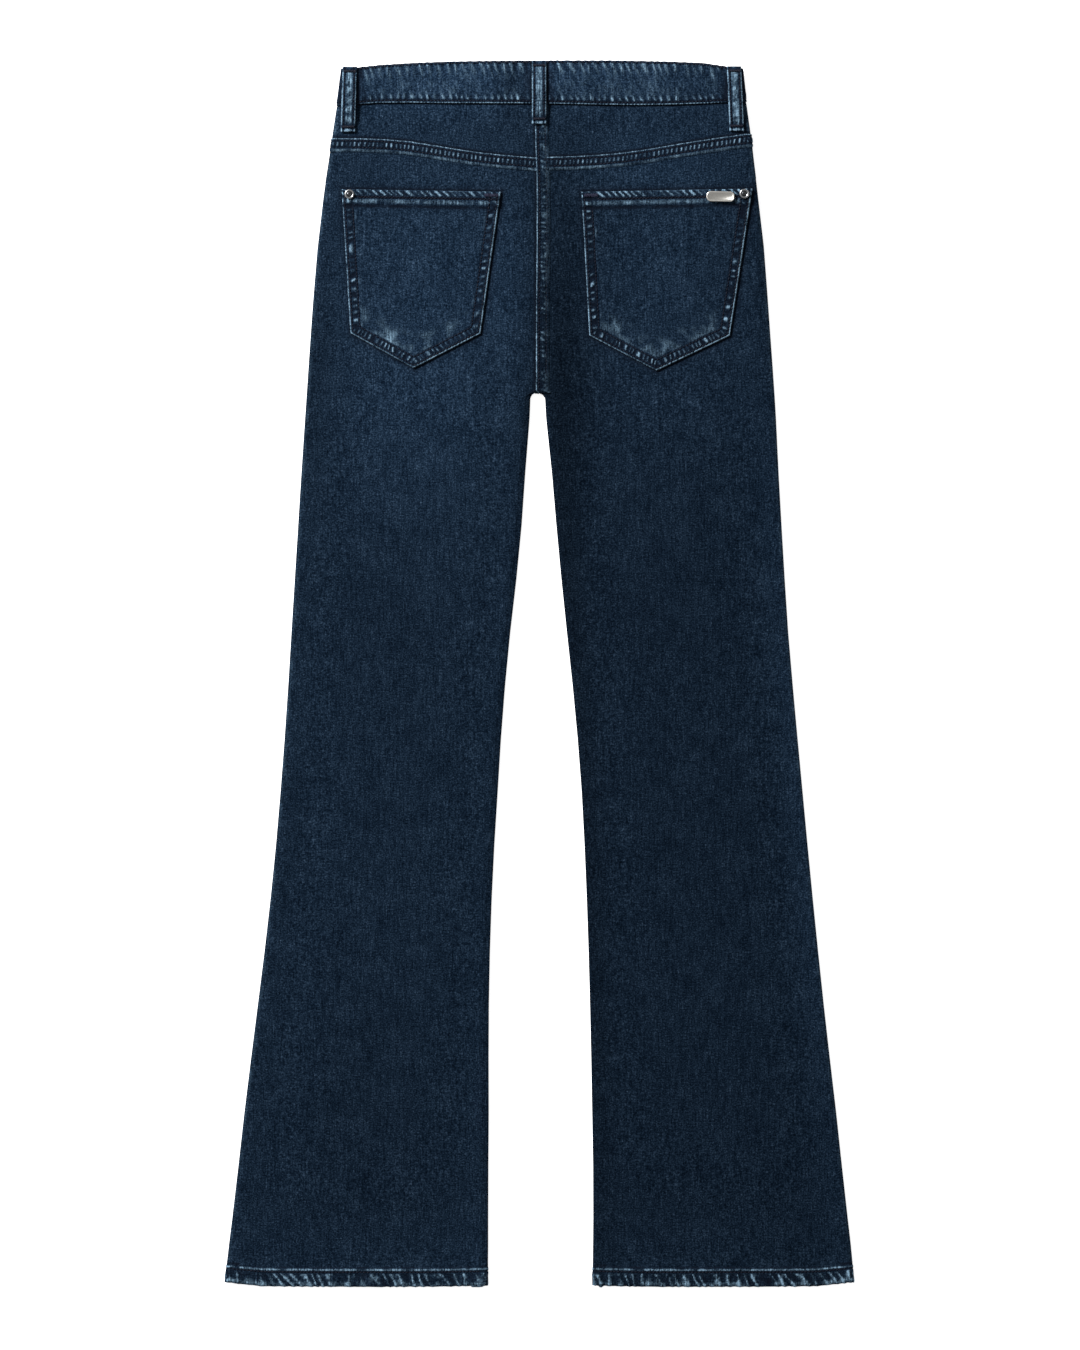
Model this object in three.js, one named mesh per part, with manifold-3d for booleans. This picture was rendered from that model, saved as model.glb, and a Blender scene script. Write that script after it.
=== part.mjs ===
// Flared jeans laid flat on their front, so that the back faces up. Sizes are in millimetres.
// +Z points up from the surface they lie on, +Y runs from the hems to the waist, and +X is the
// wearer's right. In the tables "up" is the distance above the hems and x is measured from the
// middle of the garment. Each panel is a cloth wall: a grid of outer points and a grid of inner
// points, joined round its border.
import * as THREE from "three";
import { mergeVertices } from "three/addons/utils/BufferGeometryUtils.js";
import Module from "manifold-3d";

const wasm = await Module();
wasm.setup();

const { lerp, smoothstep, clamp } = THREE.MathUtils;
const LEFT = -1;
const RIGHT = 1;
const SIDES = [["left", LEFT], ["right", RIGHT]];

// The garment and its cloth.
const LENGTH = 1126.5; // hems to the highest point of the back waistband
const INSEAM = 820.6; // hems to the crotch
const DENIM = 1.3; // wall of one layer of denim
const BAND_WALL = 2.1; // the waistband is folded double round its seam allowances
const SEAM_GAP = 0.3; // between neighbouring pieces
const EDGE_ROUND = 4; // how far in the side folds turn over
const EDGE_THIN = 0.5; // pressed edges are this much thinner
const CROTCH_ARCH = 6; // height of the small arch between the legs
const ARCH_POWER = 4; // it is squarer than an ellipse, whose power is 2

// Hems and felled seams.
const HEM_HEIGHT = 18; // the hem is turned up twice
const HEM_EXTRA = 0.9; // what its turned layers add to the wall
const HEM_REACH = 62; // the back relaxes from the hem's thickness by this level
const FELL_WIDTH = 11; // the band of a felled seam, between its folded edge and its last stitches
const FELL_RISE = 0.8; // what the layers of a felled seam add
const FELL_SIDE = RIGHT; // the centre back seam is felled to this side
const STEP_RUN = 1.5; // run of a step from one thickness to the next

// How the two faces lie on the surface and on each other.
const FRONT_LIFT = 2.4; // the button and the front loops hold the front up this far at the waist
const LIFT_START = INSEAM + 15;
const LIFT_END = INSEAM + 145;
const SEAM_LIFT = 0.5; // the seam allowances inside hold the faces apart
const WAIST_SEAM_LIFT = 0.1;
const LEG_LOFT = 1.8; // how much higher the back lies along the middle of a leg
const HIP_LOFT = 0.9;

// The outline, section by section: how far out each leg's outer and inner edge lies. Above the
// crotch the two halves meet at the centre seam, and only the outer edges count.
const OUTLINE = [
  { up: 0, leftOuter: -289.3, leftInner: -47.4, rightInner: 49.2, rightOuter: 289.3 },
  { up: 19, leftOuter: -287.5, leftInner: -46.9, rightInner: 49.4, rightOuter: 288.6 },
  { up: 88, leftOuter: -279.2, leftInner: -46.7, rightInner: 49.9, rightOuter: 281.1 },
  { up: 162, leftOuter: -270.9, leftInner: -46.2, rightInner: 48.8, rightOuter: 273.2 },
  { up: 236, leftOuter: -261.7, leftInner: -46.3, rightInner: 47.4, rightOuter: 264.5 },
  { up: 309, leftOuter: -252.5, leftInner: -45.1, rightInner: 45.5, rightOuter: 256.7 },
  { up: 383, leftOuter: -244.3, leftInner: -42.3, rightInner: 42.8, rightOuter: 249.3 },
  { up: 456, leftOuter: -237.8, leftInner: -37.9, rightInner: 39.1, rightOuter: 242.4 },
  { up: 530, leftOuter: -232.3, leftInner: -33.1, rightInner: 33.1, rightOuter: 235.5 },
  { up: 604, leftOuter: -227.7, leftInner: -26.2, rightInner: 25.3, rightOuter: 229.1 },
  { up: 677, leftOuter: -223.1, leftInner: -17.9, rightInner: 17.9, rightOuter: 224.5 },
  { up: 751, leftOuter: -218.5, leftInner: -12.4, rightInner: 11.5, rightOuter: 220.3 },
  { up: 806, leftOuter: -214.8, leftInner: -8.3, rightInner: 6.0, rightOuter: 217.6 },
  { up: 898, leftOuter: -208.4, leftInner: -8.3, rightInner: 6.0, rightOuter: 211.1 },
  { up: 953, leftOuter: -203.8, leftInner: -8.3, rightInner: 6.0, rightOuter: 207.0 },
  { up: 1008, leftOuter: -197.3, leftInner: -8.3, rightInner: 6.0, rightOuter: 200.6 },
  { up: 1045, leftOuter: -191.8, leftInner: -8.3, rightInner: 6.0, rightOuter: 196.4 },
  { up: 1086, leftOuter: -185.8, leftInner: -8.3, rightInner: 6.0, rightOuter: 190.9 },
  { up: 1119, leftOuter: -181.7, leftInner: -8.3, rightInner: 6.0, rightOuter: 187.2 },
];

// The centre back seam leans a little, from the crotch to the waistband.
const CENTRE_SEAM = [
  { up: INSEAM, x: -2.2 },
  { up: 900, x: -2.0 },
  { up: 1000, x: -1.4 },
  { up: 1040, x: -2.0 },
  { up: 1090, x: -4.2 },
];

// The yoke seam, from the centre back (share 0) to the side seams (share 1).
const YOKE_SEAM = [
  { share: 0, left: 1037.9, right: 1038.3 },
  { share: 0.26, left: 1042.4, right: 1040.2 },
  { share: 0.45, left: 1047.6, right: 1043.6 },
  { share: 0.63, left: 1053.0, right: 1049.4 },
  { share: 0.8, left: 1055.4, right: 1054.6 },
  { share: 1, left: 1056.0, right: 1060.0 },
];
const YOKE_LEVEL = 1048; // its level on average

// The back waistband's lower seam and top edge, from the left side (share 0) to the right.
const BACK_BAND = [
  { share: 0, seam: 1085.6, top: 1118.9 },
  { share: 0.09, seam: 1088.2, top: 1122.4 },
  { share: 0.25, seam: 1088.0, top: 1125.4 },
  { share: 0.5, seam: 1087.6, top: 1126.5 },
  { share: 0.75, seam: 1086.2, top: 1126.1 },
  { share: 0.96, seam: 1088.6, top: 1122.2 },
  { share: 1, seam: 1089.6, top: 1118.7 },
];
const BAND_LEVEL = 1087; // the seam's level on average

// The front waistband dips below the back one towards the fly. Share 0 is at the side.
const FRONT_BAND = [
  { share: 0, leftSeam: 1085.6, rightSeam: 1089.6, top: 1118.8 },
  { share: 0.35, leftSeam: 1077.5, rightSeam: 1078.2, top: 1112.6 },
  { share: 0.7, leftSeam: 1064.0, rightSeam: 1064.0, top: 1100.6 },
  { share: 1, leftSeam: 1058.0, rightSeam: 1058.0, top: 1095.5 },
];
const FRONT_BAND_LEVEL = 1070;
const BAND_LAP = 6; // the left end of the front waistband laps this far past the middle

// Heights of the waistband's faces: the front wall, a gap, and the back wall on it.
const BAND_FACES = {
  frontOuter: FRONT_LIFT,
  frontInner: FRONT_LIFT + BAND_WALL,
  backInner: FRONT_LIFT + BAND_WALL + SEAM_GAP,
  backOuter: FRONT_LIFT + 2 * BAND_WALL + SEAM_GAP,
};
const BAND_MIDDLE = BAND_FACES.frontInner + SEAM_GAP / 2;

// The hems curve up a little towards the side seams. Share 0 is at the inseam.
const HEM_CURVE = [
  { share: 0, rise: 1.0 },
  { share: 0.2, rise: 0.1 },
  { share: 0.5, rise: 0 },
  { share: 0.8, rise: 0.4 },
  { share: 0.93, rise: 1.3 },
  { share: 1, rise: 4.2 },
];

// The patch pockets: corners on the mouth, corners below them, and the point, as [x, up].
const POCKETS = {
  left: {
    mouthIn: [-35.1, 1005.6], mouthOut: [-181.1, 1008.2],
    lowIn: [-53.8, 875.8], lowOut: [-173.2, 876.3], point: [-115.2, 844.1],
  },
  right: {
    mouthIn: [39.1, 1005.6], mouthOut: [196.0, 1008.7],
    lowIn: [46.3, 874.0], lowOut: [175.3, 874.0], point: [108.1, 841.8],
  },
};
const POCKET_HEM = 12;
const POCKET_HEM_EXTRA = 0.7;

// The belt loops: where the middle of each one's top end and of its foot lies.
const LOOP_WIDTH = 13.8;
const LOOP_WALL = 1.5;
const BACK_LOOP_BOW = 0.9; // how far a loop stands off the waistband between its ends
const FRONT_LOOP_BOW = 0.6;
const LOOPS = [
  { name: "belt_loop_centre_back", back: true, topX: 0.1, footX: 0.1, top: 1126.0, foot: 1068.1 },
  { name: "belt_loop_back_left", back: true, topX: -173.6, footX: -175.4, top: 1120.6, foot: 1060.8 },
  { name: "belt_loop_back_right", back: true, topX: 179.0, footX: 181.6, top: 1121.0, foot: 1061.7 },
  { name: "belt_loop_front_left", back: false, topX: -102, footX: -103, top: 1106.5, foot: 1050.5 },
  { name: "belt_loop_front_right", back: false, topX: 105, footX: 106, top: 1106.5, foot: 1050.5 },
];

// The fly, its button, and the front pockets' scoops with the facing that shows in them.
const FLY = { width: 38, foot: 918, curve: 42, lap: 2, wall: 0.9, tip: 4 };
const BUTTON = { x: -8, aboveSeam: 18, radius: 8.5, height: 2.1 };
const SCOOP = { width: 88, depth: 74, reach: 30 };
const FACING_INSET = 0.7; // how far the facing lies behind the front panel
const FACING_START = INSEAM + 60; // from here up to the next level the front makes room for it
const FACING_END = INSEAM + 120;

// The metal trim on the back pockets.
const RIVET = { radius: 4.5, height: 1.1 };
const RIVETS = [
  { name: "pocket_rivet_left", x: -173.9, up: 1003.4 },
  { name: "pocket_rivet_right", x: 188.4, up: 1003.9 },
];
const BADGE = { x: 166.5, up: 1001.2, width: 25.6, height: 9.6, wall: 1.5, bevel: 0.5, tilt: -0.02 };

// Grids. A fold has points at these shares of its quarter turn.
const FOLD = [0, 0.75, 1].map((share) => ({
  rise: Math.sin((share * Math.PI) / 2),
  reach: 1 - Math.cos((share * Math.PI) / 2),
}));
const LEG_COLUMNS = 8;
const LEG_ROW = 49; // height of a row along the legs
const BAND_ROWS = [0, 0.06, 0.5, 0.94, 1];
const ARCH_ROWS = [-12, -CROTCH_ARCH, -3, -1.5, -0.5, 0, 4, 22, 55]; // from the crotch

const DENIM_LOOK = { color: 0x1b2b3e, roughness: 0.92, metalness: 0 };
const METAL_LOOK = { color: 0x8d8a84, roughness: 0.35, metalness: 1 };
const BADGE_LOOK = { color: 0xd9d3c4, roughness: 0.38, metalness: 1 };

/** A smooth curve through a table's rows, from one named column to another. */
function curve(rows, from, to) {
  const at = rows.map((row) => row[from]);
  const values = rows.map((row) => row[to]);
  const interpolant = new THREE.CubicInterpolant(at, values, 1);
  return (where) => interpolant.evaluate(clamp(where, at[0], at[at.length - 1]))[0];
}

/** The same curve for each side of the garment. */
const sideCurves = (rows, from, left, right) => ({
  [LEFT]: curve(rows, from, left),
  [RIGHT]: curve(rows, from, right),
});

const outerEdge = sideCurves(OUTLINE, "up", "leftOuter", "rightOuter");
const legEdge = sideCurves(OUTLINE, "up", "leftInner", "rightInner");
const yokeSeam = sideCurves(YOKE_SEAM, "share", "left", "right");
const frontBandSeam = sideCurves(FRONT_BAND, "share", "leftSeam", "rightSeam");
const frontBandTop = curve(FRONT_BAND, "share", "top");
const backBandSeam = curve(BACK_BAND, "share", "seam");
const backBandTop = curve(BACK_BAND, "share", "top");
const centreSeam = curve(CENTRE_SEAM, "up", "x");
const hemRise = curve(HEM_CURVE, "share", "rise");

/** The front's centre line is straight; the back's follows its seam. */
const centreLine = { back: centreSeam, front: () => centreSeam(INSEAM) };

/** A half's inner edge: the inseam, then the arch at the crotch, then the centre seam. */
function innerEdge(side, up, face) {
  const centre = centreLine[face](Math.max(up, INSEAM)) + (side * SEAM_GAP) / 2;
  if (up >= INSEAM) return centre;
  const inArch = clamp((up - (INSEAM - CROTCH_ARCH)) / CROTCH_ARCH, 0, 1);
  return centre + (legEdge[side](up) - centre) * (1 - inArch ** ARCH_POWER) ** (1 / ARCH_POWER);
}

/** 1 where the two halves butt against each other, and 0 where each rounds over. */
const butted = (up) => smoothstep(up, INSEAM - 3, INSEAM + 3);

/** 1 where the legs have become one body, and 0 where they are apart. */
const joined = (up) => smoothstep(up, INSEAM - 60, INSEAM + 50);

/** How far the front stands off the surface. */
const frontLift = (up) => FRONT_LIFT * smoothstep(up, LIFT_START, LIFT_END);

/** A panel's thickness: the hem is thicker. */
function wallAt(up) {
  const aboveHem = smoothstep(up, HEM_HEIGHT - STEP_RUN / 2, HEM_HEIGHT + STEP_RUN / 2);
  return DENIM + HEM_EXTRA * (1 - aboveHem);
}

/** What the front's layers take up above its outer face. */
function frontStack(up) {
  const hem = HEM_EXTRA * (1 - smoothstep(up, HEM_HEIGHT + STEP_RUN / 2, HEM_REACH));
  return DENIM + hem + FACING_INSET * smoothstep(up, FACING_START, FACING_END);
}

const seamLift = (up) => lerp(SEAM_LIFT, WAIST_SEAM_LIFT, smoothstep(up, LIFT_END, BAND_LEVEL));

/** Nearly flat in the middle and falling to 0 at both ends. */
const crown = (share) => 1 - (2 * clamp(share, 0, 1) - 1) ** 4;

/** How much higher the back lies where air is left inside. */
function loft(x, up) {
  const side = x < centreSeam(up) ? LEFT : RIGHT;
  const outer = outerEdge[side](up);
  const acrossLeg = (x - outer) / (innerEdge(side, up, "back") - outer);
  const acrossHips = (x - outerEdge[LEFT](up)) / (outerEdge[RIGHT](up) - outerEdge[LEFT](up));
  const leg = LEG_LOFT * smoothstep(up, 0, 160) * crown(acrossLeg);
  const hips = HIP_LOFT * crown(acrossHips) * (1 - smoothstep(up, 1000, BAND_LEVEL));
  return lerp(leg, hips, joined(up));
}

/** Heights of the back's inner and outer face, away from felled seams. */
const backInner = (x, up) => frontLift(up) + frontStack(up) + SEAM_GAP + seamLift(up) + loft(x, up);
const backOuter = (x, up) => backInner(x, up) + wallAt(up);

/** The level at which back and front meet along their shared edges. */
function meetLevel(up) {
  const middle = frontLift(up) + (frontStack(up) + SEAM_GAP + seamLift(up) + wallAt(up)) / 2;
  return lerp(middle, BAND_MIDDLE, smoothstep(up, YOKE_LEVEL - 18, BAND_LEVEL - 9));
}

/** Where a plan point lies across the back waistband: 0 at its left fold, 1 at its right one. */
function acrossBack(x) {
  const from = outerEdge[LEFT](BAND_LEVEL);
  return clamp((x - from) / (outerEdge[RIGHT](BAND_LEVEL) - from), 0, 1);
}

/** Where a plan point lies across half the front waistband: 0 at the side, 1 at its end. */
function acrossFront(side, x) {
  const from = outerEdge[side](BAND_LEVEL);
  return clamp((x - from) / (BAND_LAP - from), 0, 1);
}

/** A plan point and a height as a point of the part's frame. */
const place = (x, up, z) => [x, up - LENGTH / 2, z];

/** Reverses a closed geometry whose faces point inwards. */
function facingOut(geometry) {
  const index = geometry.index.array;
  const corners = [new THREE.Vector3(), new THREE.Vector3(), new THREE.Vector3()];
  let volume = 0;
  for (let i = 0; i < index.length; i += 3) {
    corners.forEach((corner, k) => {
      corner.fromBufferAttribute(geometry.attributes.position, index[i + k]);
    });
    volume += corners[0].dot(corners[1].cross(corners[2]));
  }
  if (volume < 0) index.reverse();
  return geometry;
}

/** A closed wall: pointsAt(row, column) gives each grid point's place on both faces. */
function wallGeometry(rowCount, columnCount, pointsAt) {
  const positions = [];
  for (let row = 0; row < rowCount; row += 1) {
    for (let column = 0; column < columnCount; column += 1) {
      const { outer, inner } = pointsAt(row, column);
      positions.push(...outer, ...inner);
    }
  }
  const outerAt = (row, column) => 2 * (row * columnCount + column);
  const innerAt = (row, column) => outerAt(row, column) + 1;
  const index = [];
  const quad = (a, b, c, d) => index.push(a, b, c, a, c, d);
  const lastRow = rowCount - 1;
  const lastColumn = columnCount - 1;
  for (let row = 0; row < lastRow; row += 1) {
    for (let column = 0; column < lastColumn; column += 1) {
      const ring = [[row, column], [row, column + 1], [row + 1, column + 1], [row + 1, column]];
      quad(...ring.map((at) => outerAt(...at)));
      quad(...ring.reverse().map((at) => innerAt(...at)));
    }
    quad(outerAt(row + 1, 0), innerAt(row + 1, 0), innerAt(row, 0), outerAt(row, 0));
    quad(outerAt(row, lastColumn), innerAt(row, lastColumn),
      innerAt(row + 1, lastColumn), outerAt(row + 1, lastColumn));
  }
  for (let column = 0; column < lastColumn; column += 1) {
    quad(outerAt(0, column), innerAt(0, column), innerAt(0, column + 1), outerAt(0, column + 1));
    quad(outerAt(lastRow, column + 1), innerAt(lastRow, column + 1),
      innerAt(lastRow, column), outerAt(lastRow, column));
  }
  const geometry = new THREE.BufferGeometry();
  geometry.setAttribute("position", new THREE.Float32BufferAttribute(positions, 3));
  geometry.setIndex(index);
  return facingOut(geometry);
}

// A column of a wall's grid has x(level, inset), its place where the wall's face lies inset from
// the fold, and turned(level), from 0 at the meeting level to 1 where the wall has turned flat.

/** Columns that turn over a fold line. inward is the direction from the line into the panel. */
function foldColumns(lineAt, inward, square = () => 0) {
  return FOLD.map(({ rise, reach }) => ({
    x: (up, inset) => {
      const start = inset * (1 - square(up));
      return lineAt(up) + inward * (start + (EDGE_ROUND - start) * reach);
    },
    turned: (up) => lerp(rise, 1, square(up)),
  }));
}

/** Columns spread evenly between two lines, without the lines themselves. */
function spreadColumns(fromAt, toAt, count) {
  return Array.from({ length: count - 1 }, (_, i) => ({
    x: (up) => lerp(fromAt(up), toAt(up), (i + 1) / count),
    turned: () => 1,
  }));
}

/** Columns across half the garment, from the side fold to the inner edge. */
function halfColumns(side, face) {
  const outer = outerEdge[side];
  const inner = (up) => innerEdge(side, up, face);
  const felled = face === "back" && side === FELL_SIDE;
  const bandTop = { x: (up) => inner(up) + side * FELL_WIDTH, turned: () => 1 };
  const bandFoot = { x: (up) => inner(up) + side * (FELL_WIDTH + STEP_RUN), turned: () => 1 };
  const nearest = felled ? bandFoot : bandTop;
  return [
    ...foldColumns(outer, -side),
    ...spreadColumns((up) => outer(up) - side * EDGE_ROUND, nearest.x, LEG_COLUMNS),
    ...(felled ? [bandFoot] : []),
    ...[bandTop, ...foldColumns(inner, side, butted).reverse()].map((column) => ({ ...column, felled })),
  ];
}

/** How far a column lies from the inner edge (0) to the side (1), at the pockets' level. */
function sideShare(column, side, face) {
  const level = POCKETS.left.mouthIn[1];
  const inner = innerEdge(side, level, face);
  return clamp((column.x(level, 0) - inner) / (outerEdge[side](level) - inner), 0, 1);
}

/** The level at which a column meets a seam whose level is given by x. */
function levelOnSeam(seamAt, column) {
  let up = BAND_LEVEL;
  for (let step = 0; step < 4; step += 1) up = seamAt(column.x(up, 0));
  return up;
}

/**
 * A panel: columns run across it, and levelAt(row, column) says where each row crosses them.
 * faces has the heights of its outer and inner face, their meeting level and the wall's inset.
 */
function panel(columns, rowCount, levelAt, faces) {
  const levels = columns.map((column) =>
    Array.from({ length: rowCount }, (_, row) => levelAt(row, column)));
  return wallGeometry(rowCount, columns.length, (row, c) => {
    const column = columns[c];
    const up = levels[c][row];
    const point = (inset, height) => {
      const x = column.x(up, inset);
      return place(x, up, lerp(faces.meet(up), height(x, up, row, column), column.turned(up)));
    };
    return { outer: point(0, faces.outer), inner: point(faces.inset(up), faces.inner) };
  });
}

/** Levels for a leg's rows, closest together at the hem and round the crotch. */
function legLevels(topRows) {
  const levels = [0, STEP_RUN, HEM_HEIGHT - STEP_RUN / 2, HEM_HEIGHT + STEP_RUN / 2, 2 * HEM_HEIGHT];
  for (let up = HEM_REACH; up < INSEAM - 20; up += LEG_ROW) levels.push(up);
  return [...levels, ...ARCH_ROWS.map((step) => INSEAM + step), ...topRows];
}

/** Bends a leg's level towards the hem's curve at one end and towards a seam at the other. */
function bentLevel(level, share, seam, seamLevel) {
  const nearHem = 1 - smoothstep(level, HEM_HEIGHT + STEP_RUN, 6 * HEM_HEIGHT);
  const nearSeam = smoothstep(level, INSEAM + 40, seamLevel - FELL_WIDTH - STEP_RUN);
  const trim = level === seamLevel ? SEAM_GAP / 2 : 0;
  return level + hemRise(share) * nearHem + (seam - seamLevel) * nearSeam - trim;
}

const backFaces = {
  meet: (up) => meetLevel(up) + SEAM_GAP / 2,
  outer: backOuter,
  inner: backInner,
  inset: wallAt,
};
const frontFaces = {
  meet: (up) => meetLevel(up) - SEAM_GAP / 2,
  outer: (x, up) => frontLift(up),
  inner: (x, up) => frontLift(up) + wallAt(up),
  inset: wallAt,
};

/** A back leg, from the hem to the yoke seam, with the felled seams' bands raised. */
function backLeg(side) {
  const fellTop = YOKE_LEVEL - FELL_WIDTH;
  const levels = legLevels([905, 950, 995, 1022, fellTop - STEP_RUN, fellTop, YOKE_LEVEL]);
  const raised = (row, column) => {
    if (levels[row] >= fellTop) return 1;
    return column.felled ? joined(levels[row]) ** 4 : 0;
  };
  const levelAt = (row, column) => {
    const share = sideShare(column, side, "back");
    return bentLevel(levels[row], share, yokeSeam[side](share), YOKE_LEVEL);
  };
  return panel(halfColumns(side, "back"), levels.length, levelAt, {
    ...backFaces,
    outer: (x, up, row, column) =>
      backOuter(x, up) + FELL_RISE * raised(row, column) - (row === 0 ? EDGE_THIN : 0),
  });
}

/** A front leg, from the hem to the front waistband, flat underneath. */
function frontLeg(side, faces = frontFaces) {
  const levels = legLevels([905, 950, 1000, 1036, FRONT_BAND_LEVEL]);
  const seamAt = (x) => frontBandSeam[side](acrossFront(side, x));
  const levelAt = (row, column) => {
    const share = sideShare(column, side, "front");
    return bentLevel(levels[row], share, levelOnSeam(seamAt, column), FRONT_BAND_LEVEL);
  };
  return panel(halfColumns(side, "front"), levels.length, levelAt, faces);
}

/** Half of the back yoke, between the yoke seam and the waistband. */
function backYoke(side) {
  const rows = [0, 0.25, 0.5, 0.75, 1];
  const levelAt = (row, column) => {
    const low = yokeSeam[side](sideShare(column, side, "back"));
    const high = levelOnSeam((x) => backBandSeam(acrossBack(x)), column);
    return lerp(low + SEAM_GAP / 2, high - SEAM_GAP / 2, rows[row]);
  };
  return panel(halfColumns(side, "back"), rows.length, levelAt, {
    ...backFaces,
    outer: (x, up, row, column) => backOuter(x, up) + (column.felled ? FELL_RISE : 0),
  });
}

/** A stretch of waistband between its seam and its top edge. */
function bandPanel(columns, seamAt, topAt, meet, outer, inner) {
  const levelAt = (row, column) => {
    const low = levelOnSeam(seamAt, column);
    return lerp(low + SEAM_GAP / 2, topAt(column.x(low, 0)), BAND_ROWS[row]);
  };
  const thinned = (row) => (row === 0 || row === BAND_ROWS.length - 1 ? EDGE_THIN : 0);
  return panel(columns, BAND_ROWS.length, levelAt, {
    meet: () => meet,
    outer: (x, up, row) => outer + Math.sign(inner - outer) * thinned(row),
    inner: () => inner,
    inset: () => BAND_WALL,
  });
}

/** The back waistband, from side fold to side fold. */
function backBand() {
  const flat = (side) => (up) => outerEdge[side](up) - side * EDGE_ROUND;
  const columns = [
    ...foldColumns(outerEdge[LEFT], -LEFT),
    ...spreadColumns(flat(LEFT), flat(RIGHT), 12),
    ...foldColumns(outerEdge[RIGHT], -RIGHT).reverse(),
  ];
  return bandPanel(columns, (x) => backBandSeam(acrossBack(x)), (x) => backBandTop(acrossBack(x)),
    BAND_MIDDLE + SEAM_GAP / 2, BAND_FACES.backOuter, BAND_FACES.backInner);
}

/** Half of the front waistband, from the side fold to where its two ends lap. */
function frontBand(side) {
  const end = { x: () => BAND_LAP + (side * SEAM_GAP) / 2, turned: () => 1 };
  const columns = [
    ...foldColumns(outerEdge[side], -side),
    ...spreadColumns((up) => outerEdge[side](up) - side * EDGE_ROUND, end.x, 10),
    end,
  ];
  const across = (x) => acrossFront(side, x);
  return bandPanel(columns, (x) => frontBandSeam[side](across(x)), (x) => frontBandTop(across(x)),
    BAND_MIDDLE - SEAM_GAP / 2, BAND_FACES.frontOuter, BAND_FACES.frontInner);
}

/** A patch pocket: t runs from its inner to its outer side, v from the mouth to the point. */
function backPocket({ mouthIn, mouthOut, lowIn, lowOut, point }) {
  const mix = (from, to, share) => [lerp(from[0], to[0], share), lerp(from[1], to[1], share)];
  const pointShare = (point[0] - lowIn[0]) / (lowOut[0] - lowIn[0]);
  const foot = (t) => (t < pointShare ? mix(lowIn, point, t / pointShare)
    : mix(point, lowOut, (t - pointShare) / (1 - pointShare)));
  const hemEnd = POCKET_HEM / (mouthIn[1] - lowIn[1]);
  const tSteps = [0, 0.01, 0.17, 0.34, pointShare, 0.67, 0.83, 0.99, 1];
  const vSteps = [0, hemEnd, hemEnd + 0.01, 0.3, 0.5, 0.7, 0.85, 0.985, 1];
  return wallGeometry(vSteps.length, tSteps.length, (row, column) => {
    const t = tSteps[column];
    const v = vSteps[row];
    const [x, up] = mix(mix(mouthIn, mouthOut, t), foot(t), v);
    const ground = backOuter(x, up) + SEAM_GAP;
    const onRim = t === 0 || t === 1 || v === 1;
    const wall = DENIM + (v <= hemEnd ? POCKET_HEM_EXTRA : 0) - (onRim ? EDGE_THIN : 0);
    return { outer: place(x, up, ground + wall), inner: place(x, up, ground) };
  });
}

/** Height of the face under a back loop: its foot lies on the yoke, the rest on the waistband. */
function underBackLoop(x, up, share) {
  const onFell = Math.abs(x) < FELL_WIDTH ? FELL_RISE : 0;
  return lerp(backOuter(x, up) + onFell, BAND_FACES.backOuter, smoothstep(share, 0.1, 0.3));
}

/** A belt loop: a strip that bows off the waistband between its two sewn ends. */
function beltLoop({ back, topX, footX, top, foot }) {
  const shares = [0, 0.05, 0.14, 0.22, 0.4, 0.62, 0.8, 0.9, 1];
  const across = [-0.5, -0.42, 0, 0.42, 0.5];
  return wallGeometry(shares.length, across.length, (row, column) => {
    const share = shares[row];
    const middle = lerp(footX, topX, share);
    const x = middle + across[column] * LOOP_WIDTH;
    const up = lerp(foot, top, share);
    const bow = smoothstep(share, 0.08, 0.25) * (1 - smoothstep(share, 0.78, 0.95));
    const wall = LOOP_WALL - (Math.abs(across[column]) === 0.5 ? EDGE_THIN : 0);
    if (back) {
      const inner = underBackLoop(middle, up, share) + SEAM_GAP + BACK_LOOP_BOW * bow;
      return { outer: place(x, up, inner + wall), inner: place(x, up, inner) };
    }
    const inner = BAND_FACES.frontOuter - SEAM_GAP - FRONT_LOOP_BOW * bow;
    return { outer: place(x, up, inner - wall), inner: place(x, up, inner) };
  });
}

/** The fly: the left front's edge lapped over the right, ending below in a J curve. */
function fly() {
  const edge = centreLine.front() + FLY.lap;
  const top = frontBandSeam[LEFT](1) - SEAM_GAP;
  const width = (up) => {
    const inCurve = clamp((FLY.foot + FLY.curve - up) / FLY.curve, 0, 1);
    return lerp(FLY.tip, FLY.width, Math.sqrt(1 - inCurve * inCurve));
  };
  const rows = [0, 0.04, 0.1, 0.18, 0.3, 0.55, 0.8, 1];
  const columns = [0, 0.05, 0.5, 0.95, 1];
  return wallGeometry(rows.length, columns.length, (row, column) => {
    const up = lerp(FLY.foot, top, rows[row]);
    const share = columns[column];
    const x = edge - share * width(up);
    const inner = frontLift(up) - SEAM_GAP;
    const wall = FLY.wall - (share === 0 || share === 1 ? EDGE_THIN / 2 : 0);
    return { outer: place(x, up, inner - wall), inner: place(x, up, inner) };
  });
}

/** A geometry as a solid that can be cut. */
function solid(geometry) {
  const bare = geometry.clone();
  bare.deleteAttribute("normal");
  bare.deleteAttribute("uv");
  const merged = mergeVertices(bare, 1e-4);
  const vertProperties = new Float32Array(merged.attributes.position.array);
  const triVerts = new Uint32Array(merged.index.array);
  return new wasm.Manifold(new wasm.Mesh({ numProp: 3, vertProperties, triVerts }));
}

/** A cut solid as a geometry again. */
function geometryOf(shape) {
  const { vertProperties, triVerts } = shape.getMesh();
  const geometry = new THREE.BufferGeometry();
  geometry.setAttribute("position", new THREE.BufferAttribute(vertProperties, 3));
  geometry.setIndex(new THREE.BufferAttribute(triVerts, 1));
  return geometry;
}

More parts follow.
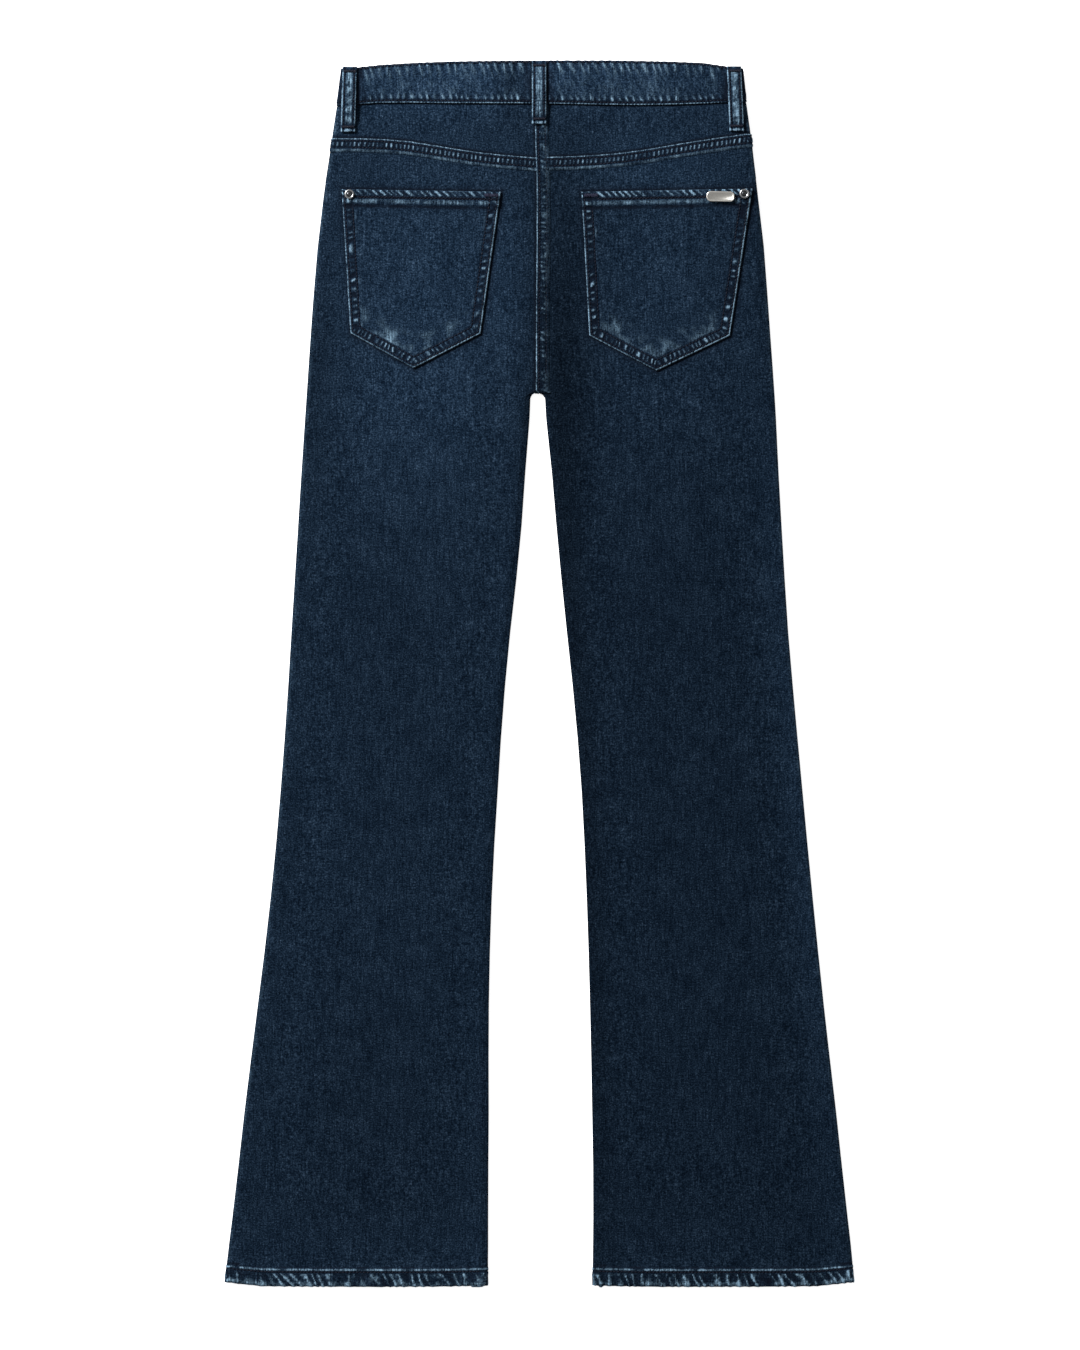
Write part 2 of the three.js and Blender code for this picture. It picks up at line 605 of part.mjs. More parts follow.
/** An upright cutter with the scoop's outline, centred where the waistband meets the side. */
function scoopCutter(side, shrink) {
  const corner = frontBandSeam[side](0);
  const outline = new THREE.Shape();
  outline.absellipse(0, 0, SCOOP.width - shrink, SCOOP.depth - shrink, 0, Math.PI * 2);
  const options = { depth: SCOOP.reach, bevelEnabled: false, curveSegments: 18 };
  const geometry = new THREE.ExtrudeGeometry(outline, options);
  geometry.translate(...place(outerEdge[side](corner), corner, -SCOOP.reach / 2));
  return solid(geometry);
}

/** The front panel with its pocket scoop cut out. */
function frontPanel(side) {
  return geometryOf(solid(frontLeg(side)).subtract(scoopCutter(side, 0)));
}

/** The pocket facing: the part of a second layer that shows in the scoop. */
function pocketFacing(side) {
  const secondLayer = {
    ...frontFaces,
    outer: (x, up) => frontLift(up) + FACING_INSET,
    inner: (x, up) => frontLift(up) + FACING_INSET + DENIM,
  };
  return geometryOf(solid(frontLeg(side, secondLayer)).intersect(scoopCutter(side, SEAM_GAP)));
}

/** A turned piece of metal from half its section, in shares of its radius and its height. */
function turnedPiece(profile, radius, height) {
  const points = profile.map(([r, h]) => new THREE.Vector2(r * radius, h * height));
  return new THREE.LatheGeometry(points, 24).rotateX(Math.PI / 2);
}

const rivetGeometry = () => turnedPiece(
  [[0, 0], [1, 0], [1, 0.45], [0.86, 1], [0.7, 1], [0.55, 0.55], [0, 0.64]],
  RIVET.radius, RIVET.height);

const buttonGeometry = () => turnedPiece(
  [[0, 0], [0.78, 0], [0.95, 0.24], [1, 0.57], [0.9, 0.86], [0.6, 1], [0, 1]],
  BUTTON.radius, BUTTON.height);

/** The badge: a plain bar with round ends. */
function badgeGeometry() {
  const half = BADGE.height / 2 - BADGE.bevel;
  const straight = BADGE.width / 2 - BADGE.bevel - half;
  const outline = new THREE.Shape();
  outline.absarc(straight, 0, half, -Math.PI / 2, Math.PI / 2);
  outline.absarc(-straight, 0, half, Math.PI / 2, Math.PI * 1.5);
  return new THREE.ExtrudeGeometry(outline, {
    depth: BADGE.wall - 2 * BADGE.bevel,
    bevelSize: BADGE.bevel,
    bevelThickness: BADGE.bevel,
    bevelSegments: 1,
    curveSegments: 8,
  }).translate(0, 0, BADGE.bevel);
}

/** Height of what lies on a pocket's mouth. */
const onPocket = (x, up) => backOuter(x, up) + SEAM_GAP + DENIM + POCKET_HEM_EXTRA + SEAM_GAP;

const jeans = new THREE.Group();

function add(name, geometry, look, position = [0, 0, 0], turn = 0) {
  const mesh = new THREE.Mesh(geometry, new THREE.MeshStandardMaterial(look));
  mesh.name = name;
  mesh.position.set(...position);
  mesh.rotation.z = turn;
  jeans.add(mesh);
}

for (const [word, side] of SIDES) {
  add(`back_leg_${word}`, backLeg(side), DENIM_LOOK);
  add(`back_yoke_${word}`, backYoke(side), DENIM_LOOK);
  add(`back_pocket_${word}`, backPocket(POCKETS[word]), DENIM_LOOK);
  add(`front_leg_${word}`, frontPanel(side), DENIM_LOOK);
  add(`front_pocket_facing_${word}`, pocketFacing(side), DENIM_LOOK);
  add(`waistband_front_${word}`, frontBand(side), DENIM_LOOK);
}
add("waistband_back", backBand(), DENIM_LOOK);
add("fly", fly(), DENIM_LOOK);
for (const loop of LOOPS) add(loop.name, beltLoop(loop), DENIM_LOOK);
for (const { name, x, up } of RIVETS) {
  add(name, rivetGeometry(), METAL_LOOK, place(x, up, onPocket(x, up)));
}
const buttonUp = frontBandSeam[LEFT](1) + BUTTON.aboveSeam;
add("waist_button", buttonGeometry(), METAL_LOOK, place(BUTTON.x, buttonUp, 0));
add("pocket_badge", badgeGeometry(), BADGE_LOOK,
  place(BADGE.x, BADGE.up, onPocket(BADGE.x, BADGE.up)), BADGE.tilt);

export default jeans;
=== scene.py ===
"""Flared jeans laid flat on their front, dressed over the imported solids.

Lengths in the classes are millimetres, as on a maker's pattern, and MM turns them into metres.
+X is the wearer's right, +Y runs from the hems to the waist and +Z points up from the table.
"""

import logging
import math
from dataclasses import dataclass
from enum import Enum
from typing import Any, Callable, Optional, Sequence, Union

import bmesh
import bpy
import numpy as np
from mathutils import Matrix, Vector, noise
from mathutils.bvhtree import BVHTree


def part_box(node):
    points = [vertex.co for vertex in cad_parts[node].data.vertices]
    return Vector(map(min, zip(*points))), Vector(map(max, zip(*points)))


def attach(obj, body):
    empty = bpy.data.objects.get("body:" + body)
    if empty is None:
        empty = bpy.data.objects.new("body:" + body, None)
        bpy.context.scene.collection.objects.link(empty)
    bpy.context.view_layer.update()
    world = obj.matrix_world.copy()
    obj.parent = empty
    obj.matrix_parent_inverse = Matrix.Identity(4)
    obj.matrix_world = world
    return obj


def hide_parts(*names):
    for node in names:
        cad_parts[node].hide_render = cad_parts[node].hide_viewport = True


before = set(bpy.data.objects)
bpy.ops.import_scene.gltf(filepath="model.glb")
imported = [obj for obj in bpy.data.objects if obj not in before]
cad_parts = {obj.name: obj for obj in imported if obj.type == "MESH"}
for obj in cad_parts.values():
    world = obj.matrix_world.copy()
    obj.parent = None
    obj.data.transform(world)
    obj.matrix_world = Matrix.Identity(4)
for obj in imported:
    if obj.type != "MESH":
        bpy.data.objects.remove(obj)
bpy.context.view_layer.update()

MM = 0.001
BODY = "root"
STITCH_PITCH = 3.25
RAY_START = 0.1
log = logging.getLogger("jeans")

Place = tuple[Vector, float]
Pair = tuple[float, float]
Triple = tuple[float, float, float]
Value = Union["Wire", float]
BMesh = bmesh.types.BMesh
Material = bpy.types.Material
Object = bpy.types.Object


class Side(Enum):
    """A half of the garment, named as the wearer of the back view sees it."""

    LEFT = -1
    RIGHT = 1

    @property
    def word(self) -> str:
        """The side's name as the solids' names have it."""
        return self.name.lower()


class Face(Enum):
    """The way that a layer's good side looks."""

    UP = 1
    DOWN = -1


class Edge(Enum):
    """How a panel ends at its side."""

    ROLLED = "turns over towards the other face"
    BUTTED = "meets its neighbour flat"
    INSEAM = "rolled along the leg and butted above the crotch"


def lerp(start: float, stop: float, share: float) -> float:
    """The value that lies a share of the way from start to stop."""
    return start + (stop - start) * share


def ease(value: float, low: float, high: float) -> float:
    """0 below low, 1 above high and smooth between them; high may be the lower one."""
    share = min(max((value - low) / (high - low), 0.0), 1.0)
    return share * share * (3 - 2 * share)


def bell(value: float, centre: float, width: float) -> float:
    """A bump of height 1 at the centre that fades within a width or two."""
    return math.exp(-(((value - centre) / width) ** 2))


def evenly(count: int, start: float = 0.0, stop: float = 1.0) -> list[float]:
    """The ends and the points between them of count equal steps."""
    return [lerp(start, stop, step / count) for step in range(count + 1)]


def speckle(along: float, across: float, seed: float) -> float:
    """Smooth irregular values from -1 to 1, in patches about one unit wide."""
    return noise.noise(Vector((along, across, seed)))


def cloudy(along: float, across: float, size: float, seed: float) -> float:
    """Soft irregular patches of about the given size, from -1 to 1."""
    return speckle(along / size, across / size, seed * 7.31)


def rhythm(along: float) -> float:
    """How the stitches of a row come and go along it, from -1 to 1."""
    return math.sin(2 * math.pi * along / STITCH_PITCH)


def sewn(along: float, off: float, width: float = 0.85) -> float:
    """How deep a row of stitches shades the cloth, dipping in and out along it."""
    return (0.85 + 0.4 * rhythm(along)) * bell(off, 0.0, width)


def inside_rows(inside: float, near: float, far: float) -> float:
    """1 between two rows of stitches, 0 outside them."""
    return ease(inside, near + 0.5, near + 1.6) * ease(inside, far - 0.4, far - 1.6)


def spot(x: float, y: float) -> Vector:
    """A place on the table, from x and y in metres."""
    return Vector((x, y))


def side_edges(side: Side, inner: Edge) -> tuple[Edge, Edge]:
    """A panel's left and right edge: rolled on the outside of the body and inner towards its middle."""
    return (Edge.ROLLED, inner) if side is Side.LEFT else (inner, Edge.ROLLED)


class Wire:
    """A socket's value in a node tree, with the arithmetic that adds Math nodes."""

    def __init__(self, recipe: "Recipe", socket: bpy.types.NodeSocket) -> None:
        """Keeps the tree and the socket."""
        self.recipe = recipe
        self.socket = socket

    def _math(self, operation: str, *values: Value) -> "Wire":
        """Adds one Math node and returns its value."""
        return self.recipe.node("ShaderNodeMath", {"operation": operation}, *values)

    def __add__(self, other: Value) -> "Wire":
        """Sum."""
        return self._math("ADD", self, other)

    def __sub__(self, other: Value) -> "Wire":
        """Difference."""
        return self._math("SUBTRACT", self, other)

    def __rsub__(self, other: float) -> "Wire":
        """Difference from a number."""
        return self._math("SUBTRACT", other, self)

    def __mul__(self, other: Value) -> "Wire":
        """Product."""
        return self._math("MULTIPLY", self, other)

    def __truediv__(self, other: Value) -> "Wire":
        """Quotient."""
        return self._math("DIVIDE", self, other)

    def __pow__(self, other: Value) -> "Wire":
        """Power."""
        return self._math("POWER", self, other)

    def __rpow__(self, other: float) -> "Wire":
        """A number raised to this value."""
        return self._math("POWER", other, self)

    __radd__ = __add__
    __rmul__ = __mul__

    def wave(self) -> "Wire":
        """Sine of the value."""
        return self._math("SINE", self)

    def within(self, low: float, high: float) -> "Wire":
        """0 at low and 1 at high, straight between them and held outside."""
        return self.recipe.node("ShaderNodeMapRange", {"clamp": True}, self, low, high)


class Recipe:
    """A material under construction."""

    def __init__(self, name: str) -> None:
        """Starts an empty material with its shader and output.

        Args:
            name: the material's name.
        """
        self.material = bpy.data.materials.new(name)
        self.material.use_nodes = True
        self.tree = self.material.node_tree
        self.tree.nodes.clear()
        self.shader = self.tree.nodes.new("ShaderNodeBsdfPrincipled")
        output = self.tree.nodes.new("ShaderNodeOutputMaterial")
        self.tree.links.new(self.shader.outputs[0], output.inputs[0])

    def node(
        self, kind: str, settings: Optional[dict[str, Any]] = None, *inputs: Any, out: Any = 0, **named: Any
    ) -> Wire:
        """Adds one node.

        Args:
            kind: the node's type.
            settings: what is set before its sockets are filled.
            inputs: values or wires for the sockets in order; None leaves one as it is.
            out: which output is wanted.
            named: values or wires for sockets by name, with _ for a space.

        Returns:
            The wire of that output.
        """
        node = self.tree.nodes.new(kind)
        for key, value in (settings or {}).items():
            setattr(node, key, value)
        filled = [(node.inputs[index], value) for index, value in enumerate(inputs) if value is not None]
        filled += [(node.inputs[key.replace("_", " ")], value) for key, value in named.items()]
        for socket, value in filled:
            if isinstance(value, Wire):
                self.tree.links.new(value.socket, socket)
            else:
                socket.default_value = value
        return Wire(self, node.outputs[out])

    def place(self) -> Wire:
        """The point's place on the garment, in metres."""
        return self.node("ShaderNodeTexCoord", out="Object")

    def attribute(self, name: str) -> Wire:
        """A value that the mesh carries at its points."""
        return self.node("ShaderNodeAttribute", {"attribute_name": name}, out="Fac")

    def stretched(self, place: Wire, scale: Sequence[float], turn: float = 0.0) -> Wire:
        """The place with its axes scaled, after a turn about +Z."""
        turned = self.node("ShaderNodeMapping", None, place, None, (0.0, 0.0, turn))
        return self.node("ShaderNodeMapping", None, turned, Scale=tuple(scale))

    def noise(self, place: Wire, scale: float, detail: float = 2.0) -> Wire:
        """Soft irregular patches; scale is their number in a metre."""
        return self.node("ShaderNodeTexNoise", None, Vector=place, Scale=scale, Detail=detail)

    def across(self, place: Wire) -> Wire:
        """The x of a place."""
        return self.node("ShaderNodeSeparateXYZ", None, place, out="X")

    def blend(self, share: Value, first: Any, second: Any) -> Wire:
        """Mixes two colours; the node's sockets 1 to 5 are for other kinds of value."""
        other = (None,) * 5
        return self.node("ShaderNodeMix", {"data_type": "RGBA"}, share, *other, first, second, out=2)

    def bump(self, height: Wire, strength: float, distance: float) -> Wire:
        """A normal that follows a height; distance is in metres."""
        sockets = {"Strength": strength, "Distance": distance, "Height": height}
        return self.node("ShaderNodeBump", out="Normal", **sockets)

    def finish(
        self, colour: Wire, rough: Optional[Wire] = None, bump: Optional[Wire] = None, **fixed: Any
    ) -> Material:
        """Fills the shader's sockets.

        Args:
            colour: the base colour.
            rough: the roughness, where it varies.
            bump: the normal, where it varies.
            fixed: values that are the same all over, by socket name with _ for a space.

        Returns:
            The finished material.
        """
        for key, value in fixed.items():
            self.shader.inputs[key.replace("_", " ")].default_value = value
        for key, wire in (("Base Color", colour), ("Roughness", rough), ("Normal", bump)):
            if wire is not None:
                self.tree.links.new(wire.socket, self.shader.inputs[key])
        return self.material


def rgba(red: float, green: float, blue: float) -> tuple[float, float, float, float]:
    """An opaque colour."""
    return (red, green, blue, 1.0)


@dataclass(frozen=True)
class Denim:
    """Dark indigo stretch denim, stone washed, with a fine right-hand twill."""

    name: str = "denim"
    ground: Triple = (0.0051, 0.0115, 0.0224)
    worn: Triple = (0.17, 0.27, 0.36)
    rubbed: Triple = (0.066, 0.115, 0.165)
    # The dark colour that negative values of the mesh's wear layer blend towards: painted shade beside the
    # pockets, loops and seams and under the waistband, with some darker unworn cloth.
    deep: Triple = (0.0032, 0.0046, 0.009)
    bleed: Triple = (1.22, 1.03, 0.9)
    grain: float = 1.5
    twill_pitch: float = 0.9
    twill_turn: float = -27.0
    flecks: float = 760.0
    clouds: float = 42.0
    slubs: Triple = (820.0, 75.0, 300.0)
    picks: Triple = (190.0, 900.0, 300.0)
    mottles: Triple = (330.0, 170.0, 300.0)
    bump: float = 0.35

    def make(self) -> Material:
        """Builds the material: fades (the wash, with some painted light and shade), wear and painted shade
        from the mesh, grain from the cloth's place.

        Returns:
            The material.
        """
        recipe = Recipe(self.name)
        place = recipe.place()
        fade = recipe.attribute("fade")
        wear = recipe.attribute("wear")
        fleck = recipe.noise(place, self.flecks, 3.0)
        slub = recipe.noise(recipe.stretched(place, self.slubs), 1.0, 2.0)
        pick = recipe.noise(recipe.stretched(place, self.picks), 1.0, 1.0)
        cloud = recipe.noise(place, self.clouds, 5.0)
        mottle = recipe.noise(recipe.stretched(place, self.mottles), 1.0, 3.0)
        grain = (fleck - 0.5) * 5.0 + (slub - 0.5) * 1.8 + (pick - 0.5) * 1.1
        grain = grain + (cloud - 0.5) * 0.8 + (mottle - 0.5) * 1.0
        ripple = recipe.stretched(place, (1.0, 1.0, 1.0), math.radians(self.twill_turn))
        step = 2 * math.pi / (self.twill_pitch * MM)
        twill = (recipe.across(ripple) * step).wave()
        stops = grain * self.grain + twill * 0.1
        channels = [level * 2.0 ** (fade + stops * share) for level, share in zip(self.ground, self.bleed)]
        shade = recipe.node("ShaderNodeCombineColor", None, *channels)
        rub = (wear * (0.62 + (fleck + slub - 1.0) * 2.2 + (cloud - 0.5) * 0.8)).within(0.0, 1.0)
        # Where the wear layer is negative the cloth darkens: mostly painted shade, with some darker unworn
        # cloth.
        deep = (wear * -1.0).within(0.0, 1.0)
        pale = recipe.blend(rub, rgba(*self.rubbed), rgba(*self.worn))
        colour = recipe.blend(rub, shade, pale)
        colour = recipe.blend(deep * 0.8, colour, rgba(*self.deep))
        rough = 0.86 + (fleck - 0.5) * 0.2
        height = twill * 0.35 + (fleck - 0.5) * 1.6 + (slub - 0.5) * 1.2
        bump = recipe.bump(height, self.bump, 0.4 * MM)
        return recipe.finish(colour, rough, bump, Specular_IOR_Level=0.01)


@dataclass(frozen=True)
class Thread:
    """Heavy polyester sewing thread, twisted."""

    name: str
    colour: Triple
    twist: float = 1300.0

    def make(self) -> Material:
        """Builds the material, with a fine twist and a slight gloss.

        Returns:
            The material.
        """
        recipe = Recipe(self.name)
        place = recipe.place()
        turned = recipe.stretched(place, (self.twist, self.twist, self.twist), math.radians(40))
        ply = (recipe.across(turned) * 5.0).wave()
        tone = recipe.noise(place, 240.0, 2.0)
        lit = tuple(channel * 1.7 for channel in self.colour)
        colour = recipe.blend((ply * 0.25 + tone).within(0.2, 0.9), rgba(*self.colour), rgba(*lit))
        rough = 0.6 + (tone - 0.5) * 0.3
        bump = recipe.bump(ply, 0.4, 0.2 * MM)
        return recipe.finish(colour, rough, bump, Specular_IOR_Level=0.12)


@dataclass(frozen=True)
class Metal:
    """Cast and tumbled zinc trim: bright on its edges and duller in its hollows."""

    name: str
    colour: Triple
    dull: Triple
    rough: float
    lines: float = 0.0

    def make(self) -> Material:
        """Builds the material from cloudy tarnish, fine scratches and pits.

        Returns:
            The material.
        """
        recipe = Recipe(self.name)
        place = recipe.place()
        # On the trim this layer holds only the metal's own tarnish and polish, no shade.
        wear = recipe.attribute("wear")
        tarnish = recipe.noise(place, 480.0, 4.0)
        brushed = recipe.noise(recipe.stretched(place, (320.0, 5200.0, 800.0)), 1.0, 2.0)
        pits = recipe.noise(place, 2600.0, 2.0)
        dark = (wear * -1.0 + (tarnish - 0.45) * 1.1).within(0.0, 1.0)
        colour = recipe.blend(dark, rgba(*self.colour), rgba(*self.dull))
        rough = self.rough + (tarnish - 0.5) * 0.25 + (brushed - 0.5) * 0.3 * self.lines
        height = pits * 0.5 + brushed * self.lines
        return recipe.finish(colour, rough, recipe.bump(height, 0.25, 0.1 * MM), Metallic=1.0)


@dataclass(frozen=True)
class Board:
    """The pale light table under the jeans, which glows enough to swallow their shadow."""

    name: str = "board"
    colour: Triple = (0.9, 0.9, 0.9)
    glow: float = 0.8

    def make(self) -> Material:
        """Builds the material, with barely visible mottling.

        Returns:
            The material.
        """
        recipe = Recipe(self.name)
        tone = recipe.noise(recipe.place(), 3.0, 2.0)
        paler = tuple(channel * 1.015 for channel in self.colour)
        colour = recipe.blend(tone, rgba(*self.colour), rgba(*paler))
        return recipe.finish(
            colour,
            Roughness=0.9,
            Specular_IOR_Level=0.1,
            Emission_Color=rgba(1.0, 1.0, 1.0),
            Emission_Strength=self.glow,
        )


class Finishes:
    """Every finish of the jeans, made once."""

    def __init__(self) -> None:
        """Builds the materials."""
        self.denim = Denim().make()
        self.thread = Thread("topstitch_thread", (0.0040, 0.0048, 0.0108)).make()
        self.tack = Thread("bartack_thread", (0.0105, 0.0118, 0.026)).make()
        self.nickel = Metal("old_nickel", (0.36, 0.37, 0.38), (0.035, 0.036, 0.04), 0.34).make()
        self.pale = Metal("pale_zinc", (0.86, 0.84, 0.79), (0.5, 0.48, 0.43), 0.36, 0.5).make()


@dataclass(frozen=True)
class Fade:
    """One place painted lighter or darker: mostly where the wash took the indigo lighter or left it darker,
    for a few painted light and shade.
    """

    x: float
    up: float
    wide: float
    high: float
    stops: float
    lean: float = 0.0

    def at(self, x: np.ndarray, up: np.ndarray) -> np.ndarray:
        """How many stops lighter it makes each point."""
        aside = x - self.x - self.lean * (up - self.up)
        return self.stops * np.exp(-((aside / self.wide) ** 2) - ((up - self.up) / self.high) ** 2)


@dataclass
class Wash:
    """The stone wash of the whole garment with some painted light and shade, in stops from the ground
    colour.
    """

    legs_deepen: float = 0.06
    right_deepens: float = 0.3
    hem_level: float = -563.0
    length: float = 1126.0
    fades: tuple[Fade, ...] = (
        Fade(-110, 880, 85, 190, 0.7),
        Fade(110, 930, 85, 155, 0.66),
        Fade(0, 1120, 260, 42, 1.1),
        # Painted shade on the waistband beside the centre belt loop.
        Fade(-24, 1105, 14, 30, -0.8),
        Fade(24, 860, 28, 150, -0.82),
        Fade(218, 930, 22, 130, -0.25),
        Fade(-30, 930, 28, 90, 0.38),
        Fade(110, 1035, 90, 28, 0.42),
        # The next four: painted shade on the rolled leg edges that face the key light, painted light on
        # those turned away from it.
        Fade(28, 430, 22, 380, -1.2, -0.05),
        Fade(-28, 430, 22, 380, 0.38, 0.05),
        Fade(250, 450, 28, 420, 0.88, -0.09),
        Fade(-250, 450, 28, 420, -0.17, 0.09),
        # Painted shade on the left hip's rolled edge, which faces the key light.
        Fade(-220, 850, 26, 150, -0.45),
        Fade(0, 30, 280, 45, 0.12),
        Fade(-232, 700, 24, 150, 0.18, 0.03),
        Fade(-130, 640, 60, 120, -0.15),
        Fade(-160, 150, 70, 130, -0.2),
    )

    def paint(self, mesh: bpy.types.Mesh) -> None:
        """Writes the fade at every point of a mesh.

        Args:
            mesh: a cloth piece's mesh, in the garment's place.
        """
        count = len(mesh.vertices)
        points = np.zeros(count * 3, np.float32)
        mesh.vertices.foreach_get("co", points)
        points = points.reshape(-1, 3) / MM
        x, up = points[:, 0], points[:, 1] - self.hem_level
        height = np.clip(up / self.length, 0, 1)
        tone = self.legs_deepen * (height - 0.5) - self.right_deepens * (1 + np.tanh(x / 60)) / 2
        for fade in self.fades:
            tone = tone + fade.at(x, up)
        layer = mesh.attributes.new("fade", "FLOAT", "POINT")
        layer.data.foreach_set("value", tone.astype(np.float32))


class Form:
    """The solid of a CAD node, asked where its faces and edges lie. All in metres."""

    def __init__(self, node: str) -> None:
        """Reads the node's mesh.

        Args:
            node: the CAD node's name.
        """
        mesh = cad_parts[node].data
        points = [vertex.co.copy() for vertex in mesh.vertices]
        faces = [list(polygon.vertices) for polygon in mesh.polygons]
        ends = np.array([edge.vertices[:] for edge in mesh.edges])
        places = np.array([list(point) for point in points])
        self.tree = BVHTree.FromPolygons(points, faces)
        self.starts, self.stops = places[ends[:, 0]], places[ends[:, 1]]
        self.low, self.high = places.min(0), places.max(0)
        self.points = places

    def cut(self, axis: int, where: float) -> np.ndarray:
        """The points where the solid's edges cross a plane.

        Args:
            axis: 0 for a plane of equal x and 1 for one of equal y.
            where: the plane's place on that axis.

        Returns:
            One row of x, y and z for each crossing.
        """
        start, stop = self.starts[:, axis], self.stops[:, axis]
        crossed = (start <= where) != (stop <= where)
        share = (where - start[crossed]) / (stop[crossed] - start[crossed])
        return self.starts[crossed] + share[:, None] * (self.stops[crossed] - self.starts[crossed])

    def height(self, x: float, y: float, face: Face) -> Optional[float]:
        """The level of the topmost or lowest surface at a place, or None beside the solid."""
        origin = Vector((x, y, RAY_START * face.value))
        hit = self.tree.ray_cast(origin, Vector((0, 0, -face.value)))[0]
        return None if hit is None else hit.z


class Outline:
    """A panel's edges, read from its solid and drawn out past its corners. All in metres."""

    SAMPLES = 160
    INSIDE = 0.4 * MM

    def __init__(self, form: Form, levels: Pair) -> None:
        """Samples the edges.

        Args:
            form: the panel's solid.
            levels: the lowest and highest y at which both sides are plain side edges.
        """
        self.ys = np.linspace(levels[0], levels[1], self.SAMPLES * 2)
        lefts, rights = [], []
        for y in self.ys:
            crossing = form.cut(1, y)
            lefts.append(crossing[crossing[:, 0].argmin()])
            rights.append(crossing[crossing[:, 0].argmax()])
        self.lefts, self.rights = np.array(lefts), np.array(rights)
        self.xs = np.linspace(form.low[0] + self.INSIDE, form.high[0] - self.INSIDE, self.SAMPLES * 2)
        crossings = [form.cut(0, x)[:, 1] for x in self.xs]
        self.lows = np.array([ys.min() for ys in crossings])
        self.highs = np.array([ys.max() for ys in crossings])

    def side(self, side: Side, y: float) -> Pair:
        """The x and z of a side edge at a level."""
        edge = self.lefts if side is Side.LEFT else self.rights
        if y > self.ys[-1] or y < self.ys[0]:
            last, near = (-1, -6) if y > self.ys[-1] else (0, 5)
            slope = (edge[last, 0] - edge[near, 0]) / (self.ys[last] - self.ys[near])
            return edge[last, 0] + slope * (y - self.ys[last]), edge[last, 2]
        return float(np.interp(y, self.ys, edge[:, 0])), float(np.interp(y, self.ys, edge[:, 2]))

    def x(self, side: Side, y: float) -> float:
        """The x of a side edge at a level."""
        return self.side(side, y)[0]

    def low(self, x: float) -> float:
        """The bottom edge's level at x."""
        return float(np.interp(x, self.xs, self.lows))

    def high(self, x: float) -> float:
        """The top edge's level at x."""
        return float(np.interp(x, self.xs, self.highs))


class Cloth:
    """One piece of cloth under construction: a grid that is laid out point by point."""

    def __init__(self, name: str, face: Face = Face.UP) -> None:
        """Starts an empty mesh.

        Args:
            name: the piece's name.
            face: the way its good side looks.
        """
        self.name = name
        self.face = face
        self.mesh = bmesh.new()
        # A layer of wear and painted shade: positive values make the cloth paler, negative ones darker.
        self.wear = self.mesh.verts.layers.float.new("wear")

    def lay(
        self, across: Sequence[float], along: Sequence[float], place: Callable[[float, float], Place]
    ) -> None:
        """Lays a grid of cloth.

        Args:
            across: where its columns lie, in whatever measure place reads.
            along: where its rows lie.
            place: gives a grid point's place in metres and its wear and painted shade from a column and a
                row.
        """
        columns, rows = len(across) - 1, len(along) - 1
        bmesh.ops.create_grid(self.mesh, x_segments=columns, y_segments=rows, size=0.5)
        for vertex in self.mesh.verts:
            column = round((vertex.co.x + 0.5) * columns)
            row = round((vertex.co.y + 0.5) * rows)
            vertex.co, vertex[self.wear] = place(across[column], along[row])
        self.mesh.normal_update()
        upward = sum(polygon.normal.z * polygon.calc_area() for polygon in self.mesh.faces)
        if upward * self.face.value < 0:
            bmesh.ops.reverse_faces(self.mesh, faces=self.mesh.faces)

    def refine(self, shade: Callable[[Vector], Optional[float]], cuts: int = 3) -> None:
        """Cuts the grid finer where painted shade or seam wear lies, and adds it to the wear layer.

        Args:
            shade: gives the wear and painted shade to add at a place, or None away from it.
            cuts: how many cuts each edge gets there.
        """
        near = [polygon for polygon in self.mesh.faces if shade(polygon.calc_center_median()) is not None]
        edges = list({edge for polygon in near for edge in polygon.edges})
        bmesh.ops.subdivide_edges(self.mesh, edges=edges, cuts=cuts, use_grid_fill=True)
        for vertex in self.mesh.verts:
            vertex[self.wear] += shade(vertex.co) or 0.0
        self.mesh.normal_update()

    def even_out(self, passes: int) -> None:
        """Smooths the height of all but the border.

        Args:
            passes: how many times each point moves towards its neighbours' mean.
        """
        inner = [vertex for vertex in self.mesh.verts if not vertex.is_boundary]
        for _ in range(passes):
            bmesh.ops.smooth_vert(self.mesh, verts=inner, factor=0.5, use_axis_z=True)

    def tree(self) -> BVHTree:
        """The mesh as something to lay other pieces on."""
        return BVHTree.FromBMesh(self.mesh)

    def sew(self, wall: float, finish: Material, wash: Wash) -> Object:
        """Turns the mesh into a finished piece with a wall.

        Args:
            wall: the cloth's thickness in millimetres.
            finish: its material.
            wash: the fades that it carries.

        Returns:
            The piece's object.
        """
        piece = make_object(f"{self.name}_cloth", self.mesh, finish)
        wash.paint(piece.data)
        thicken = piece.modifiers.new("wall", "SOLIDIFY")
        thicken.thickness = wall * MM
        thicken.offset = -1
        return piece


def make_object(name: str, mesh: BMesh, finish: Material) -> Object:
    """Makes a smooth-shaded object that rides on the garment.

    Args:
        name: the object's name.
        mesh: its shape, which is used up.
        finish: its material.

    Returns:
        The object.
    """
    for polygon in mesh.faces:
        polygon.smooth = True
    data = bpy.data.meshes.new(name)
    mesh.to_mesh(data)
    mesh.free()
    data.materials.append(finish)
    piece = bpy.data.objects.new(name, data)
    bpy.context.scene.collection.objects.link(piece)
    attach(piece, BODY)
    return piece


